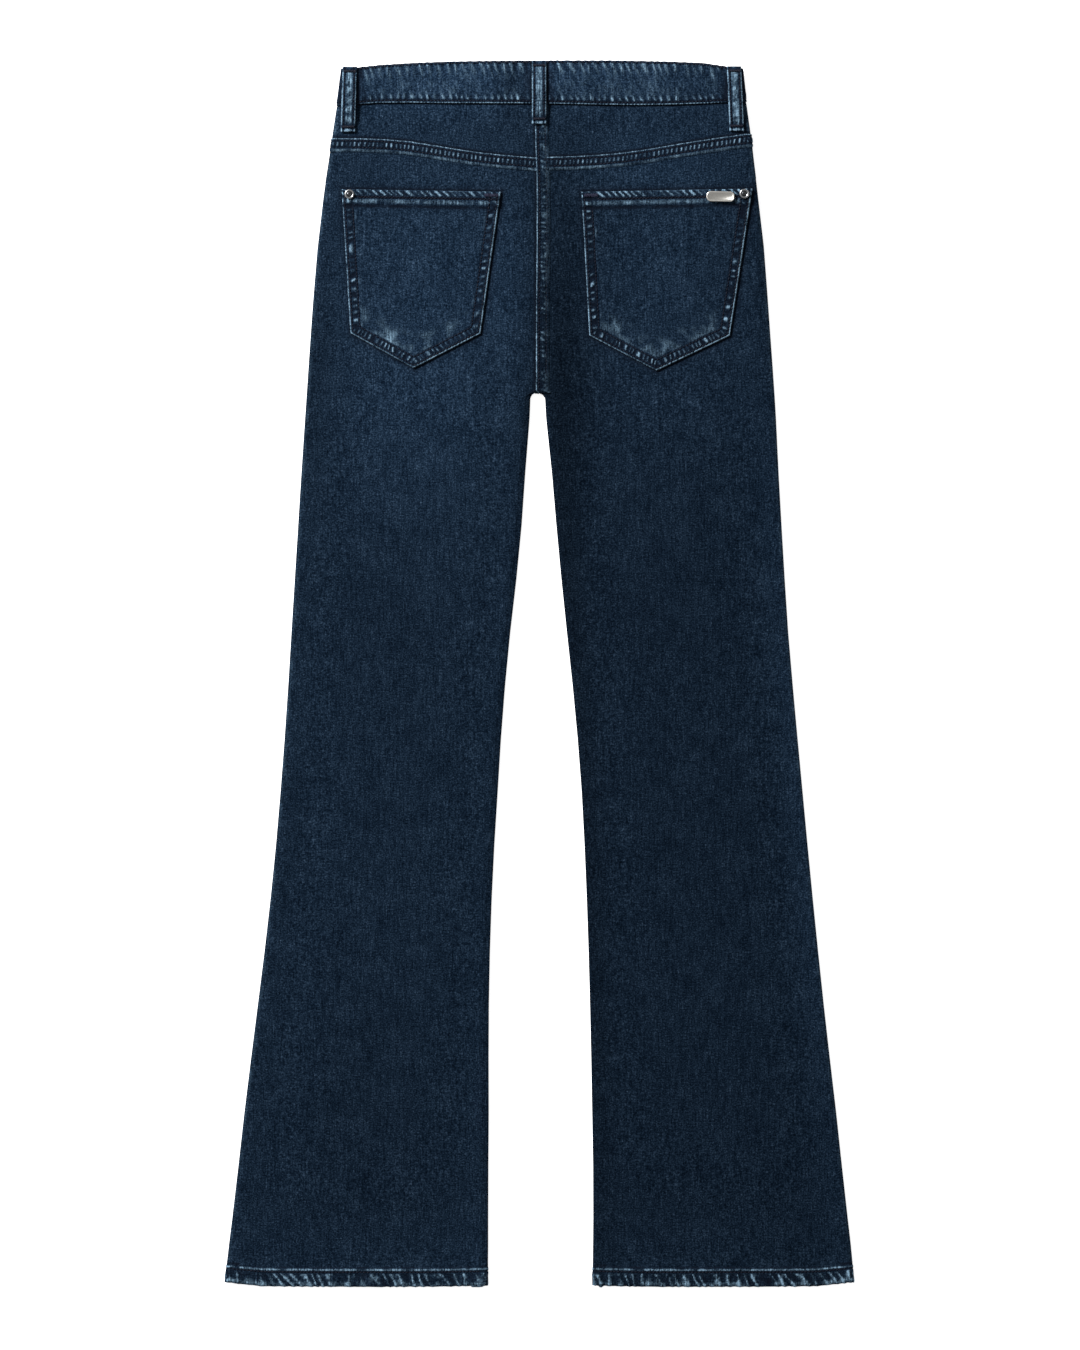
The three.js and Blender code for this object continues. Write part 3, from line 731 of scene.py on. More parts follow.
class Surface:
    """Finished cloth that other pieces and stitches are laid on."""

    def __init__(self, *trees: BVHTree, face: Face = Face.UP) -> None:
        """Keeps the trees.

        Args:
            trees: the pieces' trees.
            face: the side that is laid on.
        """
        self.trees = trees
        self.face = face

    def height(self, x: float, y: float) -> float:
        """The outermost level at a place; beside the cloth, that of the nearest point."""
        look = self.face.value
        origin, down = Vector((x, y, RAY_START * look)), Vector((0, 0, -look))
        hits = [tree.ray_cast(origin, down)[0] for tree in self.trees]
        levels = [hit.z for hit in hits if hit is not None]
        if levels:
            return max(levels) if self.face is Face.UP else min(levels)
        near = [tree.find_nearest(Vector((x, y, 0.005)))[0] for tree in self.trees]
        return min(near, key=lambda hit: (hit.xy - Vector((x, y))).length).z


@dataclass
class Panel:
    """A panel of the garment: its solid's outline, and cloth laid along it between two folds."""

    node: str
    face: Face
    left: Edge
    right: Edge
    levels: Pair
    roll: float = 4.0
    crotch: float = 257.4

    def __post_init__(self) -> None:
        """Reads the solid."""
        self.form = Form(self.node)
        self.outline = Outline(self.form, (self.levels[0] * MM, self.levels[1] * MM))

    def _roll(self, side: Side, y: float) -> float:
        """How far in the fold at a side reaches at a level, in metres."""
        edge = self.left if side is Side.LEFT else self.right
        if edge is Edge.ROLLED:
            return self.roll * MM
        if edge is Edge.BUTTED:
            return 0.0
        return self.roll * MM * (1 - ease(y / MM, self.crotch - 3, self.crotch + 3))

    def base(self, x: float, y: float) -> Optional[float]:
        """The plain cloth's level at a place, without what is sewn on it."""
        return self.form.height(x, y, self.face)

    def level(self, x: float, y: float, inward: float) -> float:
        """The plain cloth's level, looked for further inward where there is none."""
        for step in (0.0, 0.4, 0.9, 1.8, 3.0, 5.0):
            found = self.base(x + inward * step * MM, y)
            if found is not None:
                return found
        near = self.form.tree.find_nearest(Vector((x, y, 0.005 + 0.05 * self.face.value)))[0]
        return near.z

    def point(self, column: float, y: float, rise: float = 0.0) -> Vector:
        """A point of the panel.

        Args:
            column: 0 to 1 from the left fold to the right one; to -1 and 2 round the folds.
            y: its level in metres.
            rise: how far it stands off the plain cloth, in metres.

        Returns:
            Its place.
        """
        (left_x, left_z), (right_x, right_z) = (self.outline.side(side, y) for side in Side)
        rolls = [self._roll(side, y) for side in Side]
        starts = (left_x + rolls[0], right_x - rolls[1])
        if 0 <= column <= 1:
            x = lerp(*starts, column)
            z = self.level(x, y, 1 if column < 0.5 else -1)
            return Vector((x, y, z + rise * self.face.value))
        side, turn = (Side.LEFT, -column) if column < 0 else (Side.RIGHT, column - 1)
        index = 0 if side is Side.LEFT else 1
        angle, edge_z = turn * math.pi / 2, (left_z, right_z)[index]
        flat = self.level(starts[index] - side.value * 0.3 * MM, y, -side.value)
        if rolls[index] == 0.0:
            return Vector((starts[index] + side.value * turn * 0.08 * MM, y, flat + rise * self.face.value))
        x = starts[index] + side.value * (rolls[index] * math.sin(angle) + rise * math.sin(angle))
        z = edge_z + (flat - edge_z) * math.cos(angle) + rise * math.cos(angle) * self.face.value
        return Vector((x, y, z))

    def beside_seam(self, x: float, y: float) -> float:
        """How much painted shade darkens a left panel beside the centre seam's folded edge."""
        return 0.9 * ease((self.outline.x(Side.RIGHT, y) - x) / MM, 4.4, 1.2)

    def rim(self, column: float, top: bool) -> float:
        """The level of the bottom or top edge along a column, in metres."""
        share = min(max(column, 0.008), 0.992)
        edge = self.outline.high if top else self.outline.low
        y = self.outline.ys[-1] if top else self.outline.ys[0]
        for _ in range(4):
            x = lerp(self.outline.x(Side.LEFT, y), self.outline.x(Side.RIGHT, y), share)
            y = edge(min(max(x, self.outline.xs[0]), self.outline.xs[-1]))
        return y

    def line(self, level: Callable[[float], float], count: int = 60, margin: float = 0.004) -> list[Vector]:
        """A line across the panel that a row of stitches follows.

        Args:
            level: gives its y at a column, in metres.
            count: how many steps it has.
            margin: the share of the width that it leaves free at each end.

        Returns:
            Its points, of x and y in metres.
        """
        path = []
        for column in evenly(count, margin, 1.0 - margin):
            y = level(column)
            path.append(spot(self.point(column, y).x, y))
        return path

    def columns(self, count: int, turns: int = 3, close: Sequence[float] = ()) -> list[float]:
        """Columns across the panel, with some round each fold and some close to an edge."""
        round_fold = [step / turns for step in range(turns, 0, -1)]
        inner = sorted(set(evenly(count)) | set(close))
        return [-turn for turn in round_fold] + inner + [1 + turn for turn in reversed(round_fold)]

    def cut_size(self, tucked: float = 0.0) -> tuple[Pair, float]:
        """The piece's cut as laid flat.

        Args:
            tucked: how much of its length is tucked into its seams, in millimetres.

        Returns:
            Its width and length in metres, and its area.
        """
        ys = np.linspace(self.outline.lows.min(), self.outline.highs.max(), 60)
        widths = [self.outline.x(Side.RIGHT, y) - self.outline.x(Side.LEFT, y) for y in ys]
        length = float(ys[-1] - ys[0]) + tucked * MM
        step = self.outline.xs[1] - self.outline.xs[0]
        area = float(np.sum(self.outline.highs - self.outline.lows + tucked * MM) * step)
        return (float(max(widths)), length), min(area, max(widths) * length)


@dataclass(frozen=True)
class Roping:
    """Slanting ridges that the sewing draws up in a folded band. Millimetres."""

    pitch: float
    slant: float
    seed: float
    wander: float = 0.55
    sharp: float = 1.5
    uneven: float = 1.0

    def ridge(self, along: float, across: float) -> float:
        """How high the ridges stand at a place, from about -1 to 1."""
        run = along + self.slant * across
        wander = self.wander * speckle(run / (self.pitch * 2.1), self.seed * 3.7, across * 0.04)
        strength = 0.8 + self.uneven * speckle(run / (self.pitch * 1.9), self.seed * 5.1, across * 0.05)
        wave = math.sin(2 * math.pi * (run / self.pitch + wander))
        return (max(wave, 0.0) ** self.sharp - 0.75 * max(-wave, 0.0)) * min(max(strength, 0.1), 1.5)


@dataclass(frozen=True)
class Fell:
    """A felled seam: a folded edge, two rows of stitches, and the soft end of its layers."""

    rows: Pair = (2.3, 8.3)
    width: float = 12.8
    rise: float = 0.8
    edge: float = 0.75
    rungs: float = 1.7
    ladder: Roping = Roping(4.1, 0.15, 1.0, wander=0.4, sharp=1.1, uneven=0.6)
    seed: float = 1.0
    sunk: float = 0.0

    def relief(self, along: float, inside: float) -> Pair:
        """The band's height and wear. Where the second row is sunk, the band is evenly pale.

        Args:
            along: place along the seam.
            inside: distance from the folded edge.

        Returns:
            What the band stands above the plain cloth, and its wear from -1 to 1.
        """
        near, far = self.rows
        rung = self.ladder.ridge(along + self.seed * 31, inside)
        patchy = speckle(along / 9.0, inside / 7.0, self.seed)
        fine = speckle(along / 1.9, inside / 2.2, self.seed + 5)
        body = ease(inside, self.width - 0.2, self.width - 2.8)
        between = ease(inside, near + 0.4, near + 1.4) * ease(inside, far - 0.4, far - 1.4)
        valley = bell(inside, near, 0.85) + bell(inside, far, 0.85)
        height = 0.06 + self.rise * body - 0.4 * valley + 0.34 * rung * between
        height -= 0.25 * math.exp(-inside / 0.5)
        wear = (self.edge + 0.6 * patchy + 0.3 * rung) * ease(inside, 1.2, 0.6)
        wear -= 1.3 * (sewn(along, inside - near) + (1 - self.sunk) * sewn(along, inside - far))
        pale = ease(inside, near + 0.8, near + 2.2) * ease(inside, far + 2.2, far - 0.6)
        wear += self.sunk * (0.4 + 0.6 * patchy + 0.3 * fine) * pale
        wear += (self.rungs * max(rung, -0.5) * (1 + 0.4 * patchy) + 0.4 * fine - 0.3) * between
        wear += (1 - self.sunk) * bell(inside, far + 2.6, 1.3) * max(0.6 + 0.8 * patchy + 0.2 * rung, 0)
        return height, wear - 0.3 * (1 - self.sunk) * bell(inside, self.width, 0.8)


def stitch_mesh() -> bpy.types.Mesh:
    """The shape that every stitch is a copy of: a small ball of radius 1, made once."""
    name = "stitch"
    if name not in bpy.data.meshes:
        ball = bmesh.new()
        bmesh.ops.create_uvsphere(ball, u_segments=6, v_segments=4, radius=1.0)
        ball.to_mesh(bpy.data.meshes.new(name))
        ball.free()
    return bpy.data.meshes[name]


@dataclass(frozen=True)
class Needle:
    """A lockstitch machine: the gap between stitches, how thick the thread lies and how deep it sinks."""

    gap: float = 0.6
    thick: float = 0.92
    sink: float = 0.16
    tack_step: float = 0.72

    def run(self, thread: BMesh, path: Sequence[Vector], on: Surface, phase: float = 0.0) -> None:
        """Sews one row.

        Args:
            thread: the mesh that takes the stitches.
            path: the row's line, of x and y in metres.
            on: the cloth under it.
            phase: where the first stitch starts, as a share of one.
        """
        spots = np.array([[point[0], point[1]] for point in path])
        runs = np.concatenate(([0.0], np.cumsum(np.linalg.norm(np.diff(spots, axis=0), axis=1))))
        stitch = (STITCH_PITCH - self.gap) * MM
        start = (0.3 + phase * 0.5) * STITCH_PITCH * MM
        while start + stitch < runs[-1]:
            ends = [
                Vector([float(np.interp(at, runs, spots[:, axis])) for axis in (0, 1)])
                for at in (start, start + stitch)
            ]
            self.one(thread, ends[0], ends[1], on)
            start += STITCH_PITCH * MM

    def one(self, thread: BMesh, first: Vector, last: Vector, on: Surface) -> None:
        """Lays one stitch between two places.

        Args:
            thread: the mesh that takes it.
            first: its start, of x and y in metres.
            last: its end.
            on: the cloth under it.
        """
        lift = (0.5 - self.sink) * self.thick * MM * on.face.value
        start, stop = (Vector((end.x, end.y, on.height(end.x, end.y) + lift)) for end in (first, last))
        middle = (start + stop) / 2
        outermost = max if on.face is Face.UP else min
        middle.z = outermost(middle.z, on.height(middle.x, middle.y) + lift)
        run = stop - start
        turn = run.to_track_quat("Z", "Y").to_matrix().to_4x4()
        shape = Matrix.Diagonal((self.thick * MM / 2, self.thick * MM / 2, run.length / 2 * 1.04, 1.0))
        stitch = stitch_mesh().copy()
        stitch.transform(Matrix.Translation(middle) @ turn @ shape)
        thread.from_mesh(stitch)
        bpy.data.meshes.remove(stitch)

    def tack(self, thread: BMesh, centre: Vector, size: Pair, turn: float, on: Surface) -> None:
        """Sews a bar tack: a dense bar of short threads laid across it.

        Args:
            thread: the mesh that takes the threads.
            centre: its middle, of x and y in metres.
            size: its length and width in millimetres.
            turn: the angle of its length from +X.
            on: the cloth under it.
        """
        along = Vector((math.cos(turn), math.sin(turn)))
        across = Vector((-along.y, along.x))
        count = round(size[0] / self.tack_step)
        for step in range(count):
            middle = centre + along * lerp(-0.5, 0.5, (step + 0.5) / count) * size[0] * MM
            lean = along * 0.3 * MM * (1 if step % 2 else -1)
            ragged = 1 + 0.12 * speckle(step * 1.7, centre.x * 900, 0)
            half = across * size[1] * 0.5 * MM * ragged
            self.one(thread, middle - half - lean, middle + half + lean, on)


class Workroom:
    """What every sub-assembly shares: the finishes, the wash and the machine."""

    def __init__(self) -> None:
        """Prepares the finishes, the wash and the machine."""
        self.finishes = Finishes()
        self.wash = Wash()
        self.needle = Needle()

    def cloth(self, cloth: Cloth, wall: float) -> Object:
        """Finishes a piece of denim."""
        return cloth.sew(wall, self.finishes.denim, self.wash)

    def threads(self, name: str, thread: BMesh, tack: bool = False) -> Object:
        """Finishes a mesh of stitches; a bar tack's thread is brighter."""
        return make_object(name, thread, self.finishes.tack if tack else self.finishes.thread)

    def declare(
        self,
        panel: Panel,
        piece: Object,
        rests_on: Sequence[str],
        parts: Sequence[Any] = (),
        tucked: float = 0.0,
    ) -> None:
        """Logs what a panel was cut to, and hides the solid that it stands for.

        Args:
            panel: the panel.
            piece: its object.
            rests_on: names of what it lies on; not used.
            parts: separate pieces that belong to it; not used.
            tucked: how much of its length is tucked into its seams, in millimetres.
        """
        flat, area = panel.cut_size(tucked)
        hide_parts(panel.node)
        log.info("%s: cut %.0f by %.0f mm", piece.name, flat[0] / MM, flat[1] / MM)


@dataclass(frozen=True)
class HemRelief:
    """The turned-up hem: slanting ridges between its folded edge and one row of stitches."""

    roping: Roping
    row: float = 13.4
    height: float = 20.6

    def relief(self, along: float, above: float) -> Pair:
        """The hem's height above the plain cloth and its wear, with painted shade just above its turned
        layer.

        Args:
            along: place along the hem.
            above: distance from its folded edge.

        Returns:
            Both, the wear from -1 to 1.
        """
        ridge = self.roping.ridge(along, above)
        inside = ease(above, self.row - 0.6, self.row - 2.4) * ease(above, -1.5, 2.5)
        fine = speckle(along / 2.0, above / 2.4, self.roping.seed)
        patchy = cloudy(along, above, 9.0, self.roping.seed + 2)
        height = 0.04 + 0.5 * ease(above, self.row + 4.0, self.row + 2.0)
        height += 0.45 * ridge * inside + 0.2 * patchy * inside
        height += -0.42 * bell(above, self.row, 0.7) - 0.3 * math.exp(-above / 0.6)
        wear = (1.15 * max(ridge, -0.3) * (1 + 0.6 * fine) + 1.0 * patchy + 0.6 * fine - 0.05) * inside
        wear += (0.4 + 0.8 * cloudy(along, 3.0, 6.0, self.roping.seed + 7)) * bell(above, 2.8, 1.8)
        broken = cloudy(along, 0, 11.0, self.roping.seed + 4)
        broken += 0.5 * cloudy(along, above, 4.0, self.roping.seed + 5)
        wear += max(0.95 + 1.0 * broken + 0.5 * fine, 0) * bell(above, self.row + 2.1, 1.1)
        lost = ease(above, self.height - 0.2, self.height - 0.9)
        wear -= 1.3 * sewn(along, above - self.row, 1.0)
        # Painted shade just above the edge of the turned layer, fading out before the strip's top.
        wear -= (0.7 - 0.8 * broken) * bell(above, self.row + 4.8, 1.8) * lost
        return height, wear + (0.4 + 0.5 * patchy) * math.exp(-above / 1.2)


class FrontSeams:
    """What is sewn along a front panel: its scooped pocket opening and the rise seam below the fly."""

    WIDTH = 88.0
    DEPTH = 74.0
    REACH = 12.5
    ROWS = (2.3, 8.5)
    NEAR_END = (74, 77, 80, 82.5, 84.5, 86, 87, 87.7)
    NEAR_RISE = (0.955, 0.966, 0.977, 0.985, 0.992, 0.9965)

    def __init__(self, panel: Panel, side: Side) -> None:
        """Finds the opening's corner from the facing that shows in it, and the fly's foot.

        Args:
            panel: the front panel.
            side: which leg.
        """
        self.panel, self.side = panel, side
        low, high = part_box(f"front_pocket_facing_{side.word}")
        inner = high.x if side is Side.LEFT else low.x
        self.corner = Vector((inner + side.value * self.WIDTH * MM, low.y + self.DEPTH * MM))
        self.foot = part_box("fly")[0].y
        self.roping = Roping(5.2, 0.3, 21 + side.value, wander=1.1, sharp=1.6)

    def opening(self, at: Vector) -> Pair:
        """How far inside the opening's edge a place lies, and how far along it. Millimetres."""
        across = (self.corner.x - at.x) * self.side.value / MM
        down = (self.corner.y - at.y) / MM
        share = max(math.hypot(across / self.WIDTH, down / self.DEPTH), 0.2)
        slope = math.hypot(across / self.WIDTH**2, down / self.DEPTH**2) / share
        return (share - 1) / slope, math.atan2(down, across) * self.DEPTH

    def rise(self, y: float) -> float:
        """The x of the rise seam at a level, in metres."""
        return self.panel.outline.x(Side.RIGHT if self.side is Side.LEFT else Side.LEFT, y)

    def seam(self, inside: float, along: float) -> float:
        """The wear of a topstitched edge at a place."""
        near, far = self.ROWS
        rope = max(self.roping.ridge(along, inside), -0.4)
        edge = (0.85 + 0.35 * rhythm(along)) * ease(inside, 1.4, 0.6)
        ropes = (0.9 * rope - 0.25) * inside_rows(inside, near, far)
        return edge + ropes - sewn(along, inside - near) - sewn(along, inside - far)

    def shade(self, at: Vector) -> Optional[float]:
        """The wear that the seams add at a place, and on the right panel the painted shade beside the rise
        seam, or None away from them.
        """
        inside, along = self.opening(at)
        if at.y > self.corner.y - (self.DEPTH + 20) * MM and -8 < inside < self.REACH:
            return self.seam(inside, along)
        if not self.panel.crotch - 1 < at.y / MM < self.foot / MM + 2:
            return None
        away = abs(at.x - self.rise(at.y)) / MM
        if away > self.REACH:
            return None
        # On the right panel the rise seam gets painted shade instead of worn topstitching.
        return self.seam(away, at.y / MM) if self.side is Side.LEFT else -0.8 * ease(away, 3.0, 0.7)

    def sew(self, room: "Workroom", name: str, surface: Surface) -> Object:
        """Sews two rows along the opening, and on the left panel two along the rise.

        Args:
            room: the workroom.
            name: the panel's name.
            surface: its cloth.

        Returns:
            The stitches.
        """
        thread = bmesh.new()
        for row in self.ROWS:
            path = []
            for turn in evenly(60, 0.05, 1.62):
                across, down = self.WIDTH * math.cos(turn), self.DEPTH * math.sin(turn)
                outward = Vector((math.cos(turn) / self.WIDTH, math.sin(turn) / self.DEPTH))
                outward = outward.normalized() * row
                x = self.corner.x - self.side.value * (across + outward.x) * MM
                path.append(spot(x, self.corner.y - (down + outward.y) * MM))
            room.needle.run(thread, path, surface, row)
            if self.side is Side.LEFT:
                levels = evenly(20, self.panel.crotch * MM + 2 * MM, self.foot + 1 * MM)
                room.needle.run(thread, [spot(self.rise(y) - row * MM, y) for y in levels], surface, row)
        return room.threads(f"{name}_front_stitches", thread)

    def columns(self) -> list[float]:
        """Columns of the panel close to the opening's inner end and to the rise."""
        y = self.corner.y - 20 * MM
        left, right = (self.panel.outline.x(side, y) for side in Side)
        ends = [self.corner.x - self.side.value * across * MM for across in self.NEAR_END]
        close = [(x - left) / (right - left) for x in ends]
        return close + [share if self.side is Side.LEFT else 1 - share for share in self.NEAR_RISE]


class LegPanel:
    """One leg panel, back or front, from the hem to the yoke seam or the waistband."""

    ROW = 4.6
    COLUMNS = 50
    SMOOTHING = 26
    WALL = 1.3
    HEM_WALL = 2.0
    HEM_STEP = 0.95
    HEM_WIDTH = 240.0
    NEAR_CROTCH = (-9, -7.5, -6.2, -5.2, -4.2, -3.2, -2.2, -1.2, -0.4, 0.4, 1.5, 3)
    NEAR_SEAM = (0.97, 0.977, 0.984, 0.989, 0.993, 0.9965)
    NEAR_ROW = (-0.6, 0.0, 0.7, 1.3, 1.9, 2.5, 3.1, 3.8, 4.6, 5.5, 6.3)

    def __init__(
        self, room: Workroom, side: Side, face: Face, pocket: Optional["PatchPocket"] = None
    ) -> None:
        """Reads the solid.

        Args:
            room: the workroom.
            side: which leg.
            face: UP for the back and DOWN for the front.
            pocket: the patch pocket that is sewn on it.
        """
        self.room, self.side, self.face, self.pocket = room, side, face, pocket
        self.back = face is Face.UP
        self.name = f"{'back' if self.back else 'front'}_leg_{side.word}"
        levels = (-556.0, 473.0 if self.back else 440.0)
        self.panel = Panel(self.name, face, *side_edges(side, Edge.INSEAM), levels=levels)
        self.bottom = float(self.panel.outline.lows.min())
        self.top = float(np.median(self.panel.outline.highs[40:-40]))
        self.settle = 0.0 if self.back else -0.5 * MM
        self.fell = 13.2 if self.back else 0.0
        self.rims: dict[tuple[float, bool], float] = {}
        self.panel.base = self.base

    def base(self, x: float, y: float) -> Optional[float]:
        """The plain cloth's level, without the felled bands that the solid carries."""
        outline = self.panel.outline
        if self.back:
            y = min(y, outline.high(x) - (self.fell + 0.8) * MM)
            if self.side is Side.RIGHT:
                clear = (self.fell + 1.6) * MM * ease(y / MM, 250.0, 262.0)
                x = max(x, outline.x(Side.LEFT, y) + clear)
        return self.panel.form.height(x, y, self.face)

    def rim(self, column: float, top: bool) -> float:
        """The bottom or top edge's level along a column, worked out once."""
        key = (round(column, 5), top)
        if key not in self.rims:
            self.rims[key] = self.panel.rim(column, top)
        return self.rims[key]

    def level(self, column: float, up: float) -> float:
        """The y of a row, which follows the hem below and the upper seam above. In metres."""
        y = self.bottom + up * MM
        low = (self.rim(column, False) - self.bottom) * (1 - ease(up, 0, 60))
        length = (self.top - self.bottom) / MM
        start = length - (150 if self.back else 230)
        return y + low + (self.rim(column, True) - self.top) * ease(up, start, length)

    def rows(self, length: float) -> list[float]:
        """Where the grid's rows lie above the hem: evenly, and closer together about the crotch."""
        crotch = self.panel.crotch - self.bottom / MM
        plain = {round(up, 2) for up in evenly(round((length - 3.0) / self.ROW), 3.0, length - 0.8)}
        rows = sorted(plain | {round(crotch + step, 2) for step in self.NEAR_CROTCH})
        return [up for index, up in enumerate(rows) if index == 0 or up - rows[index - 1] > 0.6]

    def build(self) -> None:
        """Builds the panel and its hem, and remembers what stitches lie on."""
        length = (self.top - self.bottom) / MM
        cloth = Cloth(self.name, self.face)
        ripples = 0.16 if self.back else 0.1

        def place(column: float, up: float) -> Place:
            y = self.level(column, up)
            at = self.panel.point(column, y, self.settle)
            x = at.x / MM
            seam = abs(column - 0.5) > 0.5
            soft = cloudy(x, up, 34, 3) * ripples + cloudy(x, up, 80, 5) * ripples * 1.6
            at.z += soft * MM * ease(up, 30, 90) * ease(length - up, 15, 60)
            rub = 0.3 + 0.35 * cloudy(up, 3, 14, 2) if seam else 0.0
            outer = column * self.side.value > (0.5 * self.side.value)
            wear = max(rub, 0.0) * 0.35 if outer else 0.0
            # The left back leg gets painted shade beside the centre seam's folded edge.
            if self.back and self.side is Side.LEFT and y / MM > self.panel.crotch - 2:
                wear -= self.panel.beside_seam(at.x, y)
            return at, wear

        seams = None if self.back else FrontSeams(self.panel, self.side)
        close = self.NEAR_SEAM if self.side is Side.LEFT else ()
        if seams is not None:
            close = seams.columns()
        cloth.lay(self.panel.columns(self.COLUMNS, close=close), self.rows(length), place)
        cloth.even_out(self.SMOOTHING)
        # Painted shade on the leg beside the patch pocket, on finer cloth.
        if self.pocket is not None:
            cloth.refine(self.pocket.shade)
        # The front seams' wear, and on the right panel painted shade beside the rise seam.
        if seams is not None:
            cloth.refine(seams.shade)
        self.surface = Surface(cloth.tree(), face=self.face)
        self.piece = self.room.cloth(cloth, self.WALL)
        self.parts = [self.hem()]
        if seams is not None:
            self.parts.append(seams.sew(self.room, self.name, self.surface))
        log.info("%s: panel and hem laid", self.name)

    def hem(self) -> Object:
        """Builds the hem's outer layer and sews its row.

        Returns:
            The hem.
        """
        seed = 11 + self.side.value * 3 + self.face.value * 7
        relief = HemRelief(Roping(9.2, 0.5, seed, wander=1.1, sharp=5.0))
        cloth = Cloth(f"{self.name}_hem", self.face)
        settle = 0.0 if self.back else -0.75 * MM

        def place(column: float, above: float) -> Place:
            along = column * self.HEM_WIDTH
            rise, wear = relief.relief(along, above)
            y = self.level(column, above) - 0.25 * MM * (1 - above / relief.height)
            y -= 0.32 * MM * relief.roping.ridge(along, above) * ease(above, 6, 0)
            flat = self.panel.point(column, max(y, self.bottom + 0.6 * MM), settle + rise * MM)
            flat.y = y
            flat.z = max(flat.z, 0.0)
            return flat, wear

        columns = self.panel.columns(round(self.HEM_WIDTH / self.HEM_STEP * (1.0 if self.back else 0.7)), 4)
        rows = [0.0, 0.35, 0.8, 1.5, 2.4, *evenly(10, 3.4, relief.row - 1.3)]
        rows += [relief.row + step for step in self.NEAR_ROW] + [relief.height]
        cloth.lay(columns, rows, place)
        thread = bmesh.new()
        path = self.panel.line(lambda column: self.level(column, relief.row))
        self.room.needle.run(thread, path, Surface(cloth.tree(), face=self.face))
        self.parts_thread = self.room.threads(f"{self.name}_hem_stitches", thread)
        return self.room.cloth(cloth, self.HEM_WALL)


class Yoke:
    """The back yoke of one side, and the felled seam that joins it to the leg."""

    STEP = 0.82
    COLUMNS = 66
    SMOOTHING = 4
    WALL = 1.2
    FELL_WALL = 0.8
    LOWER = 0.7
    TUCKED = 7.5
    LENGTH = 185
    NEAR_SEAM = (0.97, 0.98, 0.988, 0.994)

    def __init__(self, room: Workroom, side: Side, leg: LegPanel) -> None:
        """Reads the solid.

        Args:
            room: the workroom.
            side: which side.
            leg: the back leg below it.
        """
        self.room, self.side, self.leg = room, side, leg
        edges = side_edges(side, Edge.BUTTED)
        self.panel = Panel(f"back_yoke_{side.word}", Face.UP, *edges, levels=(498.0, 521.0))
        self.panel.base = self.base
        self.fell = Fell(seed=3.0 + side.value)

    def base(self, x: float, y: float) -> Optional[float]:
        """The yoke's level, clear of its borders and of the centre seam's band."""
        outline = self.panel.outline
        if self.side is Side.RIGHT:
            x = max(x, outline.x(Side.LEFT, y) + 15.0 * MM)
        y = min(max(y, outline.low(x) + 2.0 * MM), outline.high(x) - 2.0 * MM)
        return self.panel.form.height(x, y, Face.UP)

    def build(self) -> None:
        """Builds the yoke and its felled seam."""
        cloth = Cloth(self.panel.node)
        tucked, plain = -5.0, 6.0

        def place(column: float, up: float) -> Place:
            low, high = self.panel.rim(column, False), self.panel.rim(column, True)
            y = low + up * MM if up < plain else lerp(low + plain * MM, high + 2.5 * MM, up - plain)
            under = bell((high - y) / MM, 0.0, 3.0) * 0.35
            at = self.panel.point(column, y, -under * MM)
            x = at.x / MM
            at.z += (cloudy(x, y / MM, 16, 8) * 0.12 + cloudy(x, y / MM, 40, 9) * 0.12) * MM
            rub = 0.18 + 0.3 * cloudy(y / MM, 1, 9, 6) if abs(column - 0.5) > 0.5 else 0.0
            # Painted shade under the waistband's edge and above the felled band's folded edge; on the left
            # yoke, painted shade beside the centre seam too.
            rub -= 0.95 * ease((high - y) / MM, 3.2, 0.4) + 0.95 * ease((y - low) / MM, 2.2, 0.4)
            if self.side is Side.LEFT:
                rub -= self.panel.beside_seam(at.x, y)
            return at, rub

        close = self.NEAR_SEAM if self.side is Side.LEFT else ()
        rows = [tucked, -2.5, -0.4, 0.3, 0.9, 1.5, 2.2, 3.1, 4.4]
        rows += [plain + share for share in (*evenly(17, 0.0, 0.88), 0.92, 0.95, 0.975, 1.0)]
        cloth.lay(self.panel.columns(self.COLUMNS, close=close), rows, place)
        cloth.even_out(self.SMOOTHING)
        self.surface = Surface(cloth.tree())
        self.piece = self.room.cloth(cloth, self.WALL)
        self.band()
        log.info("%s: yoke and felled seam laid", self.panel.node)

    def band(self) -> None:
        """Lays the felled band along the top of the leg and sews its two rows."""
        leg, fell = self.leg, self.fell
        length = (leg.top - leg.bottom) / MM
        cloth = Cloth(f"yoke_seam_{self.side.word}")

        def place(column: float, inside: float) -> Place:
            y = leg.level(column, length) - (self.LOWER + inside) * MM
            flat = leg.panel.point(column, y)
            along = flat.x / MM
            rise, wear = fell.relief(along, inside)
            if not 0 <= column <= 1:
                return leg.panel.point(column, y, rise * MM), wear
            wave = 0.22 * speckle(along / 6.0, 2.0, 8.0) * ease(inside, 3, 0)
            ground = leg.surface.height(flat.x, min(y, leg.rim(column, True) - 2.5 * MM))
            return Vector((flat.x, flat.y + wave * MM, ground + rise * MM)), wear

        columns = leg.panel.columns(round(self.LENGTH / self.STEP), 4)
        rows = [0.0, 0.3, 0.6, 1.0, 1.4, 1.8, 2.3, *evenly(6, 3.1, 7.2)]
        rows += [7.8, 8.3, 8.8, 9.4, 10.0, 10.6, 11.2, 11.8, 12.3, 12.8]
        cloth.lay(columns, rows, place)
        self.band_surface = Surface(cloth.tree())
        thread = bmesh.new()
        for row in fell.rows:
            below = (self.LOWER + row) * MM
            path = leg.panel.line(lambda column: leg.level(column, length) - below)
            self.room.needle.run(thread, path, self.band_surface, row)
        self.band_piece = self.room.cloth(cloth, self.FELL_WALL)
        self.band_thread = self.room.threads(f"yoke_seam_{self.side.word}_stitches", thread)


